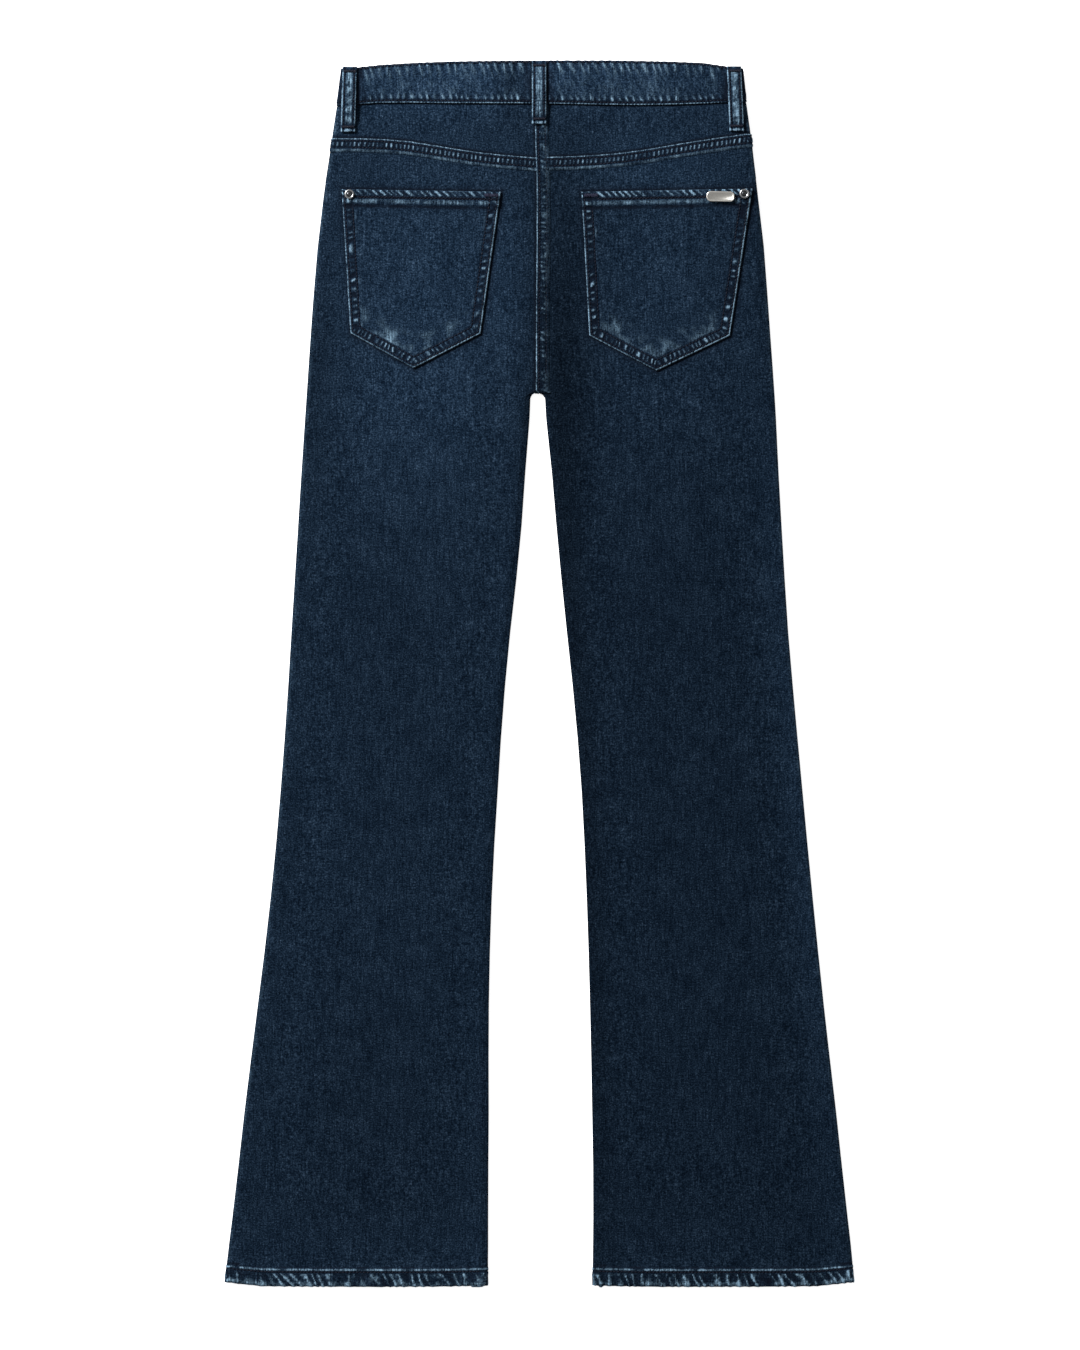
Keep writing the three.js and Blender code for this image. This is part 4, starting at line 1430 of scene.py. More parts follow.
class CentreSeam:
    """The felled centre back seam, from the crotch to the waistband."""

    STEP = 0.85
    WALL = 0.8

    def __init__(self, room: Workroom, right: LegPanel, yoke: Yoke) -> None:
        """Keeps the panels that it lies on.

        Args:
            room: the workroom.
            right: the right back leg, which carries the band.
            yoke: the right yoke, which carries its upper part.
        """
        self.room, self.right, self.yoke = room, right, yoke
        ladder = Roping(5.4, 0.25, 3.0, wander=1.0, sharp=1.2, uneven=1.1)
        self.fell = Fell(
            (2.6, 9.4), width=12.6, rise=0.75, edge=0.85, rungs=0.42, ladder=ladder, seed=8.0, sunk=0.85
        )
        self.second = Needle(thick=0.6, sink=0.4)

    def edge(self, y: float) -> float:
        """The folded edge's x at a level, which is the seam line drawn a little to the left."""
        lower = self.right.panel.outline.x(Side.LEFT, min(max(y, 259.0 * MM), 470.0 * MM))
        upper = self.yoke.panel.outline.x(Side.LEFT, max(y, 498.0 * MM))
        return lerp(lower, upper, ease(y / MM, 455.0, 500.0)) - 0.7 * MM

    def ground(self, x: float, y: float) -> float:
        """The level of what lies under the band."""
        leg, yoke, fell = self.right.surface, self.yoke.surface, self.yoke.band_surface
        seam = self.right.rim(0.05, True) / MM
        if y / MM > seam - 0.9:
            return yoke.height(x, y)
        if y / MM > seam - 13.7:
            return max(leg.height(x, y), fell.height(x, y) - 0.2 * MM)
        return leg.height(x, y)

    def build(self) -> None:
        """Lays the band and sews its rows."""
        cloth = Cloth("centre_back_seam")
        low = self.right.panel.crotch + 0.6
        high = self.yoke.panel.rim(0.0, True) / MM + 2.0
        smooth = {}
        levels = evenly(round((high - low) / self.STEP), low, high)
        for level in levels:
            steps = [(level + step) * MM for step in (-3, -1.5, 0, 1.5, 3)]
            near = [self.ground(self.edge(y) + 5 * MM, y) for y in steps]
            smooth[level] = sum(near) / len(near)

        def place(inside: float, level: float) -> Place:
            y = level * MM
            x = self.edge(y) + inside * MM
            rise, wear = self.fell.relief(level, inside)
            wear -= 0.08 * ease(level, 390, 330) * ease(inside, 3, 4) * ease(inside, 12, 10)
            wave = 0.25 * speckle(level / 6.0, 5.0, 1.0) * ease(inside, 3, 0)
            ground = lerp(smooth[level], self.ground(x, y), ease(inside, 8, 12.4))
            return Vector((x + wave * MM, y, max(ground, self.ground(x, y)) + rise * MM)), wear

        columns = [0.0, 0.3, 0.6, 1.0, 1.4, 2.0, 2.5, *evenly(6, 3.2, 8.2)]
        columns += [8.8, 9.4, 10.0, 10.7, 11.4, 12.0, 12.6]
        cloth.lay(columns, levels, place)
        surface = Surface(cloth.tree())
        thread = bmesh.new()
        for row in self.fell.rows:
            path = [spot(self.edge(level * MM) + row * MM, level * MM) for level in levels]
            needle = self.room.needle if row == self.fell.rows[0] else self.second
            needle.run(thread, path, surface, row)
        self.piece = self.room.cloth(cloth, self.WALL)
        self.thread = self.room.threads("centre_back_seam_stitches", thread)
        log.info("centre back seam: felled band laid")


@dataclass(frozen=True)
class BandRelief:
    """The waistband: puckers that its two seams draw up, and its pressed edges."""

    low: Roping
    high: Roping
    row: float = 2.1

    def relief(self, along: float, below: float, above: float) -> Pair:
        """Its height and wear.

        Args:
            along: place along it.
            below: distance from its bottom edge.
            above: distance from its top edge.

        Returns:
            Both, the wear from -1 to 1.
        """
        low_zone = ease(below, 10.5, 4.5) * ease(below, 2.2, 3.2)
        high_zone = ease(above, 16.0, 4.5) * ease(above, 1.4, 2.6)
        low, high = self.low.ridge(along, below), self.high.ridge(along, above)
        fine = speckle((along + 0.3 * below) / 1.9, below / 7.0, self.low.seed)
        soft = cloudy(along, below, 12, self.low.seed)
        height = 0.5 * low * low_zone + 0.4 * high * high_zone + 0.2 * soft
        height -= 0.36 * bell(below, self.row, 0.7)
        height -= 0.3 * math.exp(-below / 0.5) + 0.3 * math.exp(-above / 0.6)
        scallop = rhythm(along)
        wear = (1.25 * max(low, -0.5) * (1 + 0.4 * fine) + 0.06) * low_zone
        wear += (0.85 * max(high, -0.5) * (1 + 0.4 * fine) + 0.1) * high_zone
        wear += (0.95 + 0.5 * soft + 0.8 * scallop + 0.5 * fine) * ease(below, 1.3, 0.7)
        wear -= 1.4 * sewn(along, below - self.row - 0.3, 1.0)
        wear += (0.04 + 0.2 * soft + 0.4 * fine) * ease(below, 2.4, 3.4)
        return height, wear - (0.85 - 0.3 * scallop) * ease(above, 2.2, 1.0)


class Waistband:
    """One piece of the waistband."""

    STEP = 1.05
    WALL = 2.0
    TOP_ROW = 1.8
    BELOW = 0.7
    SEEDS = {"waistband_back": 2.0, "waistband_front_left": 5.0, "waistband_front_right": 9.0}

    def __init__(
        self, room: Workroom, node: str, face: Face, levels: Pair, edges: tuple[Edge, Edge]
    ) -> None:
        """Reads the solid.

        Args:
            room: the workroom.
            node: the solid's name.
            face: the way it looks.
            levels: where its ends are plain.
            edges: how its left and right end finish.
        """
        self.room, self.face = room, face
        self.panel = Panel(node, face, *edges, levels=levels, roll=2.6)
        seed = self.SEEDS[node]
        low = Roping(6.7, 0.3, seed, wander=0.6, sharp=1.9, uneven=0.7)
        high = Roping(7.8, -0.35, seed + 2, wander=0.6, sharp=1.3, uneven=0.8)
        self.relief = BandRelief(low, high)
        self.proud = 0.55 if face is Face.UP else 0.0
        # The belt loops' places and half widths, for the painted shade beside them.
        self.loops: list[Pair] = []
        self.panel.base = self.base

    def base(self, x: float, y: float) -> Optional[float]:
        """The band's level, clear of its borders."""
        outline = self.panel.outline
        y = min(max(y, outline.low(x) + 2.0 * MM), outline.high(x) - 2.0 * MM)
        return self.panel.form.height(x, y, self.face)

    def build(self) -> None:
        """Lays the band and sews along both edges."""
        outline = self.panel.outline
        width = (outline.xs[-1] - outline.xs[0]) / MM
        rims: dict[float, Pair] = {}

        def place(column: float, share: float) -> Place:
            if column not in rims:
                low = self.panel.rim(column, False) - self.BELOW * MM
                rims[column] = (low, self.panel.rim(column, True))
            low, high = rims[column]
            y = lerp(low, high, share)
            rise, wear = self.relief.relief(column * width, (y - low) / MM, (high - y) / MM)
            at = self.panel.point(column, y, (rise + self.proud) * MM)
            at.y += 0.22 * MM * self.relief.high.ridge(column * width, 0) * ease(share, 0.8, 1)
            # Painted shade on the band beside each belt loop, darkest at its edges.
            for middle, half in self.loops:
                off = abs(at.x / MM - middle) - half
                wear -= 0.55 * ease(off, 9.0, 5.0) + 0.6 * ease(off, 2.6, 0.8)
            return at, wear

        cloth = Cloth(self.panel.node, self.face)
        height = (self.panel.rim(0.5, True) - self.panel.rim(0.5, False)) / MM
        rows = [0.0, 0.3, 0.7, 1.2, 1.9, 2.6, *evenly(round(height / 1.35), 3.4, height - 2.6)]
        rows += [height - below for below in (1.7, 0.9, 0.4, 0.0)]
        cloth.lay(self.panel.columns(round(width / self.STEP)), [row / height for row in rows], place)
        surface = Surface(cloth.tree(), face=self.face)
        thread = bmesh.new()
        for row, top in ((self.relief.row, False), (self.TOP_ROW, True)):
            up = (-row if top else row - self.BELOW) * MM
            path = self.panel.line(lambda column: self.panel.rim(column, top) + up, 90, 0.002)
            self.room.needle.run(thread, path, surface, row)
        self.piece = self.room.cloth(cloth, self.WALL)
        self.thread = self.room.threads(f"{self.panel.node}_stitches", thread)
        log.info("%s: band laid", self.panel.node)


class PatchPocket:
    """A patch pocket: a five-cornered piece with felled edges and a roped mouth."""

    STEP = 1.1
    WALL = 1.2
    ROWS = (2.2, 9.0)
    MOUTH_ROWS = (6.4, 7.5)
    PITCHES = (7.6, 4.7, 4.7, 8.2)
    # How strong the painted shade is beside each sewn edge, from the left edge round to the right one:
    # strongest on the right, away from the key light.
    SHADES = (0.6, 0.75, 1.0, 1.1)

    def __init__(self, room: Workroom, side: Side) -> None:
        """Finds the pocket's corners on its solid.

        Args:
            room: the workroom.
            side: which side.
        """
        self.room, self.side = room, side
        self.node = f"back_pocket_{side.word}"
        self.form = Form(self.node)
        x, y = self.form.points[:, 0], self.form.points[:, 1]
        picks = [(x - y).argmin(), (x + y).argmin(), y.argmin(), (x - y).argmax(), (x + y).argmax()]
        self.corners = [spot(x[pick], y[pick]) for pick in picks]
        self.roping = Roping(6.4, 1.15, 21.0 + side.value * 3, wander=0.6, sharp=1.2)
        self.sides = []
        for index, pitch in enumerate(self.PITCHES):
            seed = 31.0 + index * 3 + side.value * 2
            self.sides.append(Roping(pitch, 0.1, seed, wander=1.0, sharp=1.3, uneven=0.85))
        left, tip, right = self.corners[1:4]
        self.tip = (tip.x - left.x) / (right.x - left.x)

    @staticmethod
    def beside(at: Vector, start: Vector, stop: Vector) -> Pair:
        """How far to the left of a line a place lies, and how far along it.

        Args:
            at: the place.
            start: the line's start, in metres.
            stop: its end.

        Returns:
            Both in millimetres.
        """
        run = (stop - start).normalized()
        away = at - start
        return (run.x * away.y - run.y * away.x) / MM, run.dot(away) / MM

    def edges(self, at: Vector) -> list[Pair]:
        """How far inside each of the four sewn edges a place lies, and how far along it. Millimetres."""
        return [self.beside(at, start, stop) for start, stop in zip(self.corners[:-1], self.corners[1:])]

    def mouth(self, at: Vector) -> Pair:
        """How far below the mouth a place lies, and how far along it. Millimetres."""
        above, along = self.beside(at, self.corners[0], self.corners[-1])
        return -above, along

    def shade(self, at: Vector) -> Optional[float]:
        """The painted shade on the cloth beside the pocket, as wear from -1 to 0, or None further away."""
        below, _ = self.mouth(at.xy)
        outside = [(-inside, weight) for (inside, _), weight in zip(self.edges(at.xy), self.SHADES)]
        away, weight = max(outside + [(-below, 1.15)])
        if away < -5.0 or away > 9.0:
            return None
        return -weight * (0.75 * ease(away, 2.9, 0.7) + 0.35 * ease(away, 8.0, 1.5))

    def sewn_edge(self, at: Vector, index: int, inside: float, along: float) -> Pair:
        """What the nearest sewn edge adds to the height and wear.

        Args:
            at: the place.
            index: which of the four edges it is.
            inside: how far inside it the place lies.
            along: how far along it.

        Returns:
            Height and wear.
        """
        height, wear = 0.0, 0.0
        near, far = self.ROWS
        if inside <= 14:
            bottom = index in (1, 2)
            rope = self.sides[index].ridge(along, inside)
            patchy = speckle(along / 11.0, inside / 6.0, 40 + index * 3 + self.side.value)
            between = inside_rows(inside, near, far)
            knot = between if bottom else between * bell(inside, 5.6, 2.9)
            valley = bell(inside, near, 0.8) + bell(inside, far, 0.8)
            height = 0.45 * rope * knot - 0.4 * valley
            wear = (1.9 if bottom else 1.6) * max(rope * (1 + 0.9 * patchy), -0.4) * knot - 0.45 * between
            wear -= 1.1 * (sewn(along, inside - near, 0.8) + sewn(along, inside - far, 0.8))
            wear += bell(inside, far + 2.0, 1.3) * max(0.9 * patchy - 0.05, 0.0)
        height -= 0.3 * math.exp(-max(inside, 0.0) / 0.5)
        line = 0.35 if index > 1 else 0.0
        pale = 1.05 + line + 0.35 * rhythm(along) + 0.5 * cloudy(at.x / MM, at.y / MM, 8, 4)
        return height, wear + pale * ease(inside, 1.3 + line, 0.6 + line)

    def turned_mouth(self, at: Vector) -> Pair:
        """What the mouth's turned hem adds to the height and wear at a place, with a painted shadow line
        below it.
        """
        below, along = self.mouth(at)
        rope = self.roping.ridge(along, -below)
        band = ease(below, 6.0, 4.4) * ease(below, -0.6, 1.2)
        soft = cloudy(along, below, 12, 77 + self.side.value)
        rough = cloudy(along, below, 3.6, 78 + self.side.value)
        height = 0.5 * rope * band + 0.5 * ease(below, 14.4, 13.0) - 0.4 * math.exp(-max(below, 0.0) / 0.6)
        height += 0.2 * bell(below, 9.4, 1.5) - 0.45 * bell(below, 6.9, 0.8)
        wear = (1.9 * max(rope, -0.5) - 0.05) * band
        wear -= 0.7 * bell(below, 6.9, 1.1) + 0.5 * sewn(along, below - 6.9, 1.1)
        wear += max(0.5 + 0.7 * soft + 0.6 * rough, 0.0) * bell(below, 10.6, 2.5) * ease(below, 7.8, 8.8)
        # A paler folded edge at the mouth, and a painted shadow line below where the turned hem ends.
        wear += (0.35 + 0.5 * soft) * ease(below, 1.0, 0.2) - (1.1 + 0.9 * soft) * bell(below, 15.0, 1.7)
        return height, wear

    def relief(self, at: Vector) -> Pair:
        """The pocket's height above its plain cloth and its wear and painted shade at a place."""
        insides = self.edges(at)
        nearest = min(range(4), key=lambda index: insides[index][0])
        edge_height, edge_wear = self.sewn_edge(at, nearest, *insides[nearest])
        mouth_height, mouth_wear = self.turned_mouth(at)
        low = min(insides[1][0], insides[2][0])
        patch = 0.9 * cloudy(at.x / MM, at.y / MM, 11, 50 + self.side.value)
        patch += 0.45 * cloudy(at.x / MM, at.y / MM, 4.5, 60)
        rubbed = 0.95 * max(patch + 0.15, 0) * ease(low, 30, 17) * ease(low, 9.5, 11)
        return edge_height + mouth_height + 0.12 * patch, edge_wear + mouth_wear + rubbed

    def spread(self, across: float, share: float) -> Vector:
        """The place at a share across and a share of the way up."""
        top = self.corners[0].lerp(self.corners[4], across)
        left, tip, right = self.corners[1:4]
        if across < self.tip:
            return left.lerp(tip, across / self.tip).lerp(top, share)
        return tip.lerp(right, (across - self.tip) / (1 - self.tip)).lerp(top, share)

    def build(self, leg: LegPanel) -> None:
        """Lays the pocket and sews its edges, its mouth and its bar tack.

        Args:
            leg: the back leg that it is sewn to.
        """
        cloth = Cloth(self.node)
        count = round((self.corners[4] - self.corners[0]).length / MM / self.STEP)
        half = round(count * self.tip)
        across = evenly(half, 0.0, self.tip) + evenly(count - half, self.tip, 1.0)[1:]
        up = evenly(round(150 / self.STEP))

        def place(column: float, share: float) -> Place:
            at = self.spread(column, share)
            inner = self.spread(*(min(max(value, 0.012), 0.988) for value in (column, share)))
            rise, wear = self.relief(at)
            ground = leg.surface.height(inner.x, inner.y)
            return Vector((at.x, at.y, ground + (self.WALL + 0.4 + rise) * MM)), wear

        cloth.lay(across, up, place)
        self.surface = Surface(cloth.tree())
        self.sew_edges()
        self.piece = self.room.cloth(cloth, self.WALL)
        flat = ((self.corners[4] - self.corners[0]).length, float(self.form.high[1] - self.form.low[1]))
        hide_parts(self.node)
        log.info("%s: cut %.0f by %.0f mm", self.node, flat[0] / MM, flat[1] / MM)

    def inset(self, distance: float) -> list[Vector]:
        """The sewn edges' line at a distance inside, from one end of the mouth to the other."""
        lines = []
        for start, stop in zip(self.corners[:-1], self.corners[1:]):
            run = (stop - start).normalized()
            lines.append((start + Vector((-run.y, run.x)) * distance * MM, run))
        path = [lines[0][0]]
        for (start, run), (other, turn) in zip(lines[:-1], lines[1:]):
            cross = run.x * turn.y - run.y * turn.x
            away = other - start
            path.append(start + run * ((away.x * turn.y - away.y * turn.x) / cross))
        path.append(lines[3][0] + lines[3][1] * (self.corners[4] - self.corners[3]).length)
        return path

    def sew_edges(self) -> None:
        """Sews two rows round the pocket, two along its mouth and the bar tack at its inner corner."""
        thread, tacks = bmesh.new(), bmesh.new()
        needle = self.room.needle
        for row in self.ROWS:
            path = self.inset(row)
            path[0] = path[0] + (path[1] - path[0]).normalized() * 2.0 * MM
            path[-1] = path[-1] + (path[-2] - path[-1]).normalized() * 2.0 * MM
            needle.run(thread, path, self.surface, row)
        run = (self.corners[4] - self.corners[0]).normalized()
        down = Vector((run.y, -run.x))
        for below in self.MOUTH_ROWS:
            ends = [self.corners[0] + run * 3 * MM, self.corners[4] - run * 3 * MM]
            needle.run(thread, [end + down * below * MM for end in ends], self.surface, below)
        inner = self.corners[4] if self.side is Side.LEFT else self.corners[0]
        inward = -run if self.side is Side.LEFT else run
        lean = math.atan2(run.y, run.x)
        middle = inner + inward * 8.5 * MM + down * 3.4 * MM
        needle.tack(tacks, middle, (12.5, 3.6), lean, self.surface)
        self.thread = self.room.threads(f"{self.node}_stitches", thread)
        self.tacks = self.room.threads(f"{self.node}_tack", tacks, tack=True)


class BeltLoop:
    """A belt loop: a strip folded in three, bowed off the band and tacked at both ends."""

    WALL = 1.2
    HALF = 6.9
    ROW = 4.4
    COLUMNS = (3.8, 4.4, 5.0, 5.6, 6.2, 6.6, 6.9)

    def __init__(self, room: Workroom, node: str, face: Face, on: Sequence[str]) -> None:
        """Reads the solid.

        Args:
            room: the workroom.
            node: the solid's name.
            face: the way it looks.
            on: what it is sewn to; not used.
        """
        self.room, self.node, self.face, self.on = room, node, face, on
        self.form = Form(node)
        low, high = self.form.low[1] / MM, self.form.high[1] / MM
        self.panel = Panel(node, face, Edge.BUTTED, Edge.BUTTED, levels=(low + 2.5, high - 2.5))
        self.seed = sum(ord(letter) for letter in node) % 17

    def relief(self, aside: float, above: float, below: float) -> Pair:
        """Its height and wear, from the distance to its middle line and to its foot and top."""
        patchy = speckle(above / 4.5, aside / 6, self.seed)
        off = abs(aside)
        valley = bell(off, self.ROW, 0.6)
        height = -0.3 * valley - 0.35 * math.exp(-(self.HALF - min(off, self.HALF)) / 0.5) + 0.15 * patchy
        height += 0.3 * bell(above, 1.4, 1.2) - 0.35 * math.exp(-above / 0.6) - 0.3 * math.exp(-below / 0.6)
        fine = speckle(above / 2.2, aside / 1.6, self.seed + 4)
        wear = 1.1 * ease(off, 5.4, 6.1) * (1 + 0.4 * patchy)
        wear += 0.75 * ease(off, 3.7, 2.4) * (0.95 + 1.2 * patchy + 1.0 * fine)
        wear += 1.1 * bell(above, 1.2, 1.0) - 1.1 * valley - 1.1 * bell(above, 4.8, 2.0)
        return height, wear - 0.8 * ease(below, 4.5, 2.5) + 0.5 * ease(below, 1.4, 0.4)

    def middle(self, y: float) -> float:
        """The x of its middle line at a level, in metres."""
        return (self.panel.outline.x(Side.LEFT, y) + self.panel.outline.x(Side.RIGHT, y)) / 2

    def build(self) -> None:
        """Lays the loop, sews its two rows and its tacks."""
        low, high = float(self.form.low[1]), float(self.form.high[1])
        length = (high - low) / MM
        cloth = Cloth(self.node, self.face)
        inset = 0.0 if self.face is Face.UP else -0.45

        def place(aside: float, above: float) -> Place:
            y = low + above * MM
            middle = self.middle(y)
            half = (self.panel.outline.x(Side.RIGHT, y) - self.panel.outline.x(Side.LEFT, y)) / 2
            rise, wear = self.relief(aside, above, length - above)
            z = self.panel.level(middle, min(max(y, low + 0.8 * MM), high - 0.8 * MM), 1)
            bulge = 0.15 * (1 - (aside / self.HALF) ** 2)
            x = middle + 0.95 * half * aside / self.HALF
            return Vector((x, y, z + (rise + bulge + inset) * MM * self.face.value)), wear

        across = [-aside for aside in reversed(self.COLUMNS)] + [*evenly(6, -3.0, 3.0), *self.COLUMNS]
        rows = [0.0, 0.4, 0.9, *evenly(round(length / 1.2), 1.5, length - 1.5)]
        rows += [length - below for below in (0.9, 0.4, 0.0)]
        cloth.lay(across, rows, place)
        surface = Surface(cloth.tree(), face=self.face)
        thread, tacks = bmesh.new(), bmesh.new()
        levels = [low + above * MM for above in evenly(12, 3.0, length - 2.0)]
        for aside in (-self.ROW, self.ROW):
            path = [spot(self.middle(y) + aside * MM, y) for y in levels]
            self.room.needle.run(thread, path, surface, aside)
        for y in (low + 4.6 * MM, low + (length - 4.2) * MM):
            self.room.needle.tack(tacks, spot(self.middle(y), y), (11.4, 2.4), 0.0, surface)
        self.piece = self.room.cloth(cloth, self.WALL)
        parts = [
            self.room.threads(f"{self.node}_stitches", thread),
            self.room.threads(f"{self.node}_tacks", tacks),
        ]
        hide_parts(self.node)
        flat = (2 * self.HALF * MM, length * MM)
        log.info("%s: %.0f mm long", self.node, length)


class FlatPiece:
    """A plain piece on the front: the fly or a pocket's facing."""

    def __init__(self, room: Workroom, node: str, inset: float) -> None:
        """Reads the solid.

        Args:
            room: the workroom.
            node: the solid's name.
            inset: how far it is drawn in from the solid's face, in millimetres.
        """
        self.room, self.node, self.inset = room, node, inset
        self.form = Form(node)

    def build(self, wall: float, rows: Sequence[float] = (), on: Sequence[str] = ()) -> None:
        """Lays the piece.

        Args:
            wall: its thickness in millimetres.
            rows: distances of its rows of stitches from its free edge on the left.
            on: what it lies on; not used.
        """
        low, high = self.form.low, self.form.high
        xs = np.linspace(low[0] + 0.3 * MM, high[0] - 0.3 * MM, 40)
        spans = [self.form.cut(0, x)[:, 1] for x in xs]
        lows, highs = [float(span.min()) for span in spans], [float(span.max()) for span in spans]
        cloth = Cloth(self.node, Face.DOWN)

        def place(x: float, share: float) -> Place:
            bottom, top = float(np.interp(x, xs, lows)), float(np.interp(x, xs, highs))
            y = lerp(bottom, top, share)
            inner = lerp(bottom, top, min(max(share, 0.03), 0.97))
            z = self.form.height(min(max(x, xs[1]), xs[-2]), inner, Face.DOWN)
            if z is None:
                z = self.form.tree.find_nearest(Vector((x, inner, low[2] - 0.01)))[0].z
            inside = min(x - low[0], y - bottom) / MM
            edge = ease(inside, 1.4, 0.4)
            soft = cloudy(x / MM, y / MM, 14, 70) * 0.1
            wear = (0.9 if rows else 0.5) * edge + 0.2 * soft
            for row in rows:
                wear -= 0.9 * sewn(y / MM, (inside if row < 20 else (x - low[0]) / MM) - row, 1.0)
            if rows:
                puckers = speckle(y / MM / 4.0, inside / 9.0, 3.0)
                wear += (0.35 + 1.6 * puckers) * bell(inside, 5.4, 2.2)
            return Vector((x, y, z + (self.inset - soft + 0.25 * edge) * MM)), wear

        cloth.lay([float(x) for x in xs], evenly(110 if rows else 60), place)
        surface = Surface(cloth.tree(), face=Face.DOWN)
        if rows:
            thread = bmesh.new()
            for row in rows:
                path = []
                for index in range(len(xs) - 1, -1, -1):
                    if xs[index] > low[0] + row * MM:
                        path.append(spot(xs[index], max(lows[index] + row * MM, lows[0] - 30 * MM)))
                path.append(spot(low[0] + row * MM, highs[0] - 4 * MM))
                self.room.needle.run(thread, path, surface, row)
            self.room.threads(f"{self.node}_stitches", thread)
        self.piece = self.room.cloth(cloth, wall)
        step = float(xs[1] - xs[0])
        area = sum(top - bottom for top, bottom in zip(highs, lows)) * step
        flat = (float(high[0] - low[0]), float(high[1] - low[1]))
        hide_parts(self.node)
        area = min(area, flat[0] * flat[1])
        log.info("%s: laid", self.node)


class Trim:
    """Metal trim, turned or stamped, set where its solid lies."""

    STEPS = 40

    def __init__(self, room: Workroom, node: str, slot: str) -> None:
        """Finds the solid's place.

        Args:
            room: the workroom.
            node: the solid's name.
            slot: a material slot's name; not used.
        """
        self.room, self.node, self.slot = room, node, slot
        self.low, self.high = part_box(node)
        self.centre = (self.low + self.high) / 2
        self.size = self.high - self.low

    def turned(self, profile: Sequence[Triple], face: Face) -> Object:
        """Spins a profile about the trim's axis.

        Args:
            profile: radius and height in millimetres, and wear, from the middle outwards.
            face: the way it looks.

        Returns:
            The piece.
        """
        mesh = bmesh.new()
        wear = mesh.verts.layers.float.new("wear")
        spots = []
        for radius, height, rub in profile:
            vertex = mesh.verts.new((radius * MM, 0.0, height * MM * face.value))
            vertex[wear] = rub
            spots.append(vertex)
        edges = [mesh.edges.new(pair) for pair in zip(spots[:-1], spots[1:])]
        around = {"cent": (0, 0, 0), "axis": (0, 0, 1), "angle": 2 * math.pi, "steps": self.STEPS}
        bmesh.ops.spin(mesh, geom=spots + edges, use_merge=True, **around)
        bmesh.ops.remove_doubles(mesh, verts=mesh.verts, dist=0.002 * MM)
        bmesh.ops.recalc_face_normals(mesh, faces=mesh.faces)
        base = self.low.z if face is Face.UP else self.high.z
        bmesh.ops.translate(mesh, verts=mesh.verts, vec=(self.centre.x, self.centre.y, base))
        piece = make_object(f"{self.node}_trim", mesh, self.room.finishes.nickel)
        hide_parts(self.node)
        log.info("%s: turned", self.node)
        return piece

    @staticmethod
    def uppermost(mesh: BMesh) -> bmesh.types.BMFace:
        """The highest face, and of several that lie level the largest."""
        return max(mesh.faces, key=lambda each: (round(each.calc_center_median().z, 6), each.calc_area()))

    def bar(self, tilt: float) -> Object:
        """Stamps a plain bar with rounded ends and a sunken middle.

        Args:
            tilt: its angle from +X.

        Returns:
            The piece.
        """
        mesh = bmesh.new()
        wear = mesh.verts.layers.float.new("wear")
        bmesh.ops.create_cube(mesh, size=1.0)
        width = self.size.x / math.cos(tilt) - abs(self.size.y * math.sin(tilt)) * 0.5
        shape = Matrix.Diagonal((width, self.size.y - abs(width * math.sin(tilt)), self.size.z, 1.0))
        bmesh.ops.transform(mesh, matrix=shape, verts=mesh.verts)
        levels = [(edge, [vertex.co.z for vertex in edge.verts]) for edge in mesh.edges]
        upright = [edge for edge, (first, last) in levels if abs(first - last) > self.size.z / 2]
        round_off = {"affect": "EDGES", "profile": 0.5, "material": -1}
        bmesh.ops.bevel(mesh, geom=upright, offset=3.9 * MM, segments=8, **round_off)
        top = self.uppermost(mesh)
        bmesh.ops.bevel(mesh, geom=list(top.edges), offset=0.45 * MM, segments=3, **round_off)
        top = self.uppermost(mesh)
        bmesh.ops.inset_region(mesh, faces=[top], thickness=0.75 * MM, depth=0.0)
        bmesh.ops.inset_region(mesh, faces=[top], thickness=0.3 * MM, depth=-0.35 * MM)
        for vertex in top.verts:
            vertex[wear] = -0.25
        turn = Matrix.Translation(self.centre) @ Matrix.Rotation(tilt, 4, "Z")
        bmesh.ops.transform(mesh, matrix=turn, verts=mesh.verts)
        piece = make_object(f"{self.node}_trim", mesh, self.room.finishes.pale)
        piece.data.set_sharp_from_angle(angle=math.radians(50))
        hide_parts(self.node)
        log.info("%s: stamped", self.node)
        return piece


RIVET_PROFILE = (
    (0.0, 0.62, -1.0), (0.35, 0.6, -1.0), (0.75, 0.74, -0.9), (1.15, 0.8, -0.7), (1.6, 0.76, -0.8),
    (1.95, 0.6, -1.0), (2.25, 0.42, -1.0), (2.6, 0.5, -0.8), (2.9, 0.86, 0.0), (3.3, 1.08, 0.3),
    (3.75, 1.08, 0.3), (4.15, 0.86, 0.1), (4.4, 0.5, -0.1), (4.5, 0.0, -0.4),
)
BUTTON_PROFILE = (
    (0.0, 0.95, -0.2), (1.2, 1.0, -0.3), (2.4, 1.18, 0.0), (3.2, 1.2, 0.1), (3.9, 1.0, -0.6),
    (5.4, 1.02, -0.3), (6.4, 1.15, -0.2), (7.0, 1.65, 0.2), (7.6, 1.78, 0.3), (8.2, 1.55, 0.1),
    (8.5, 1.0, -0.2), (8.3, 0.3, -0.5),
)


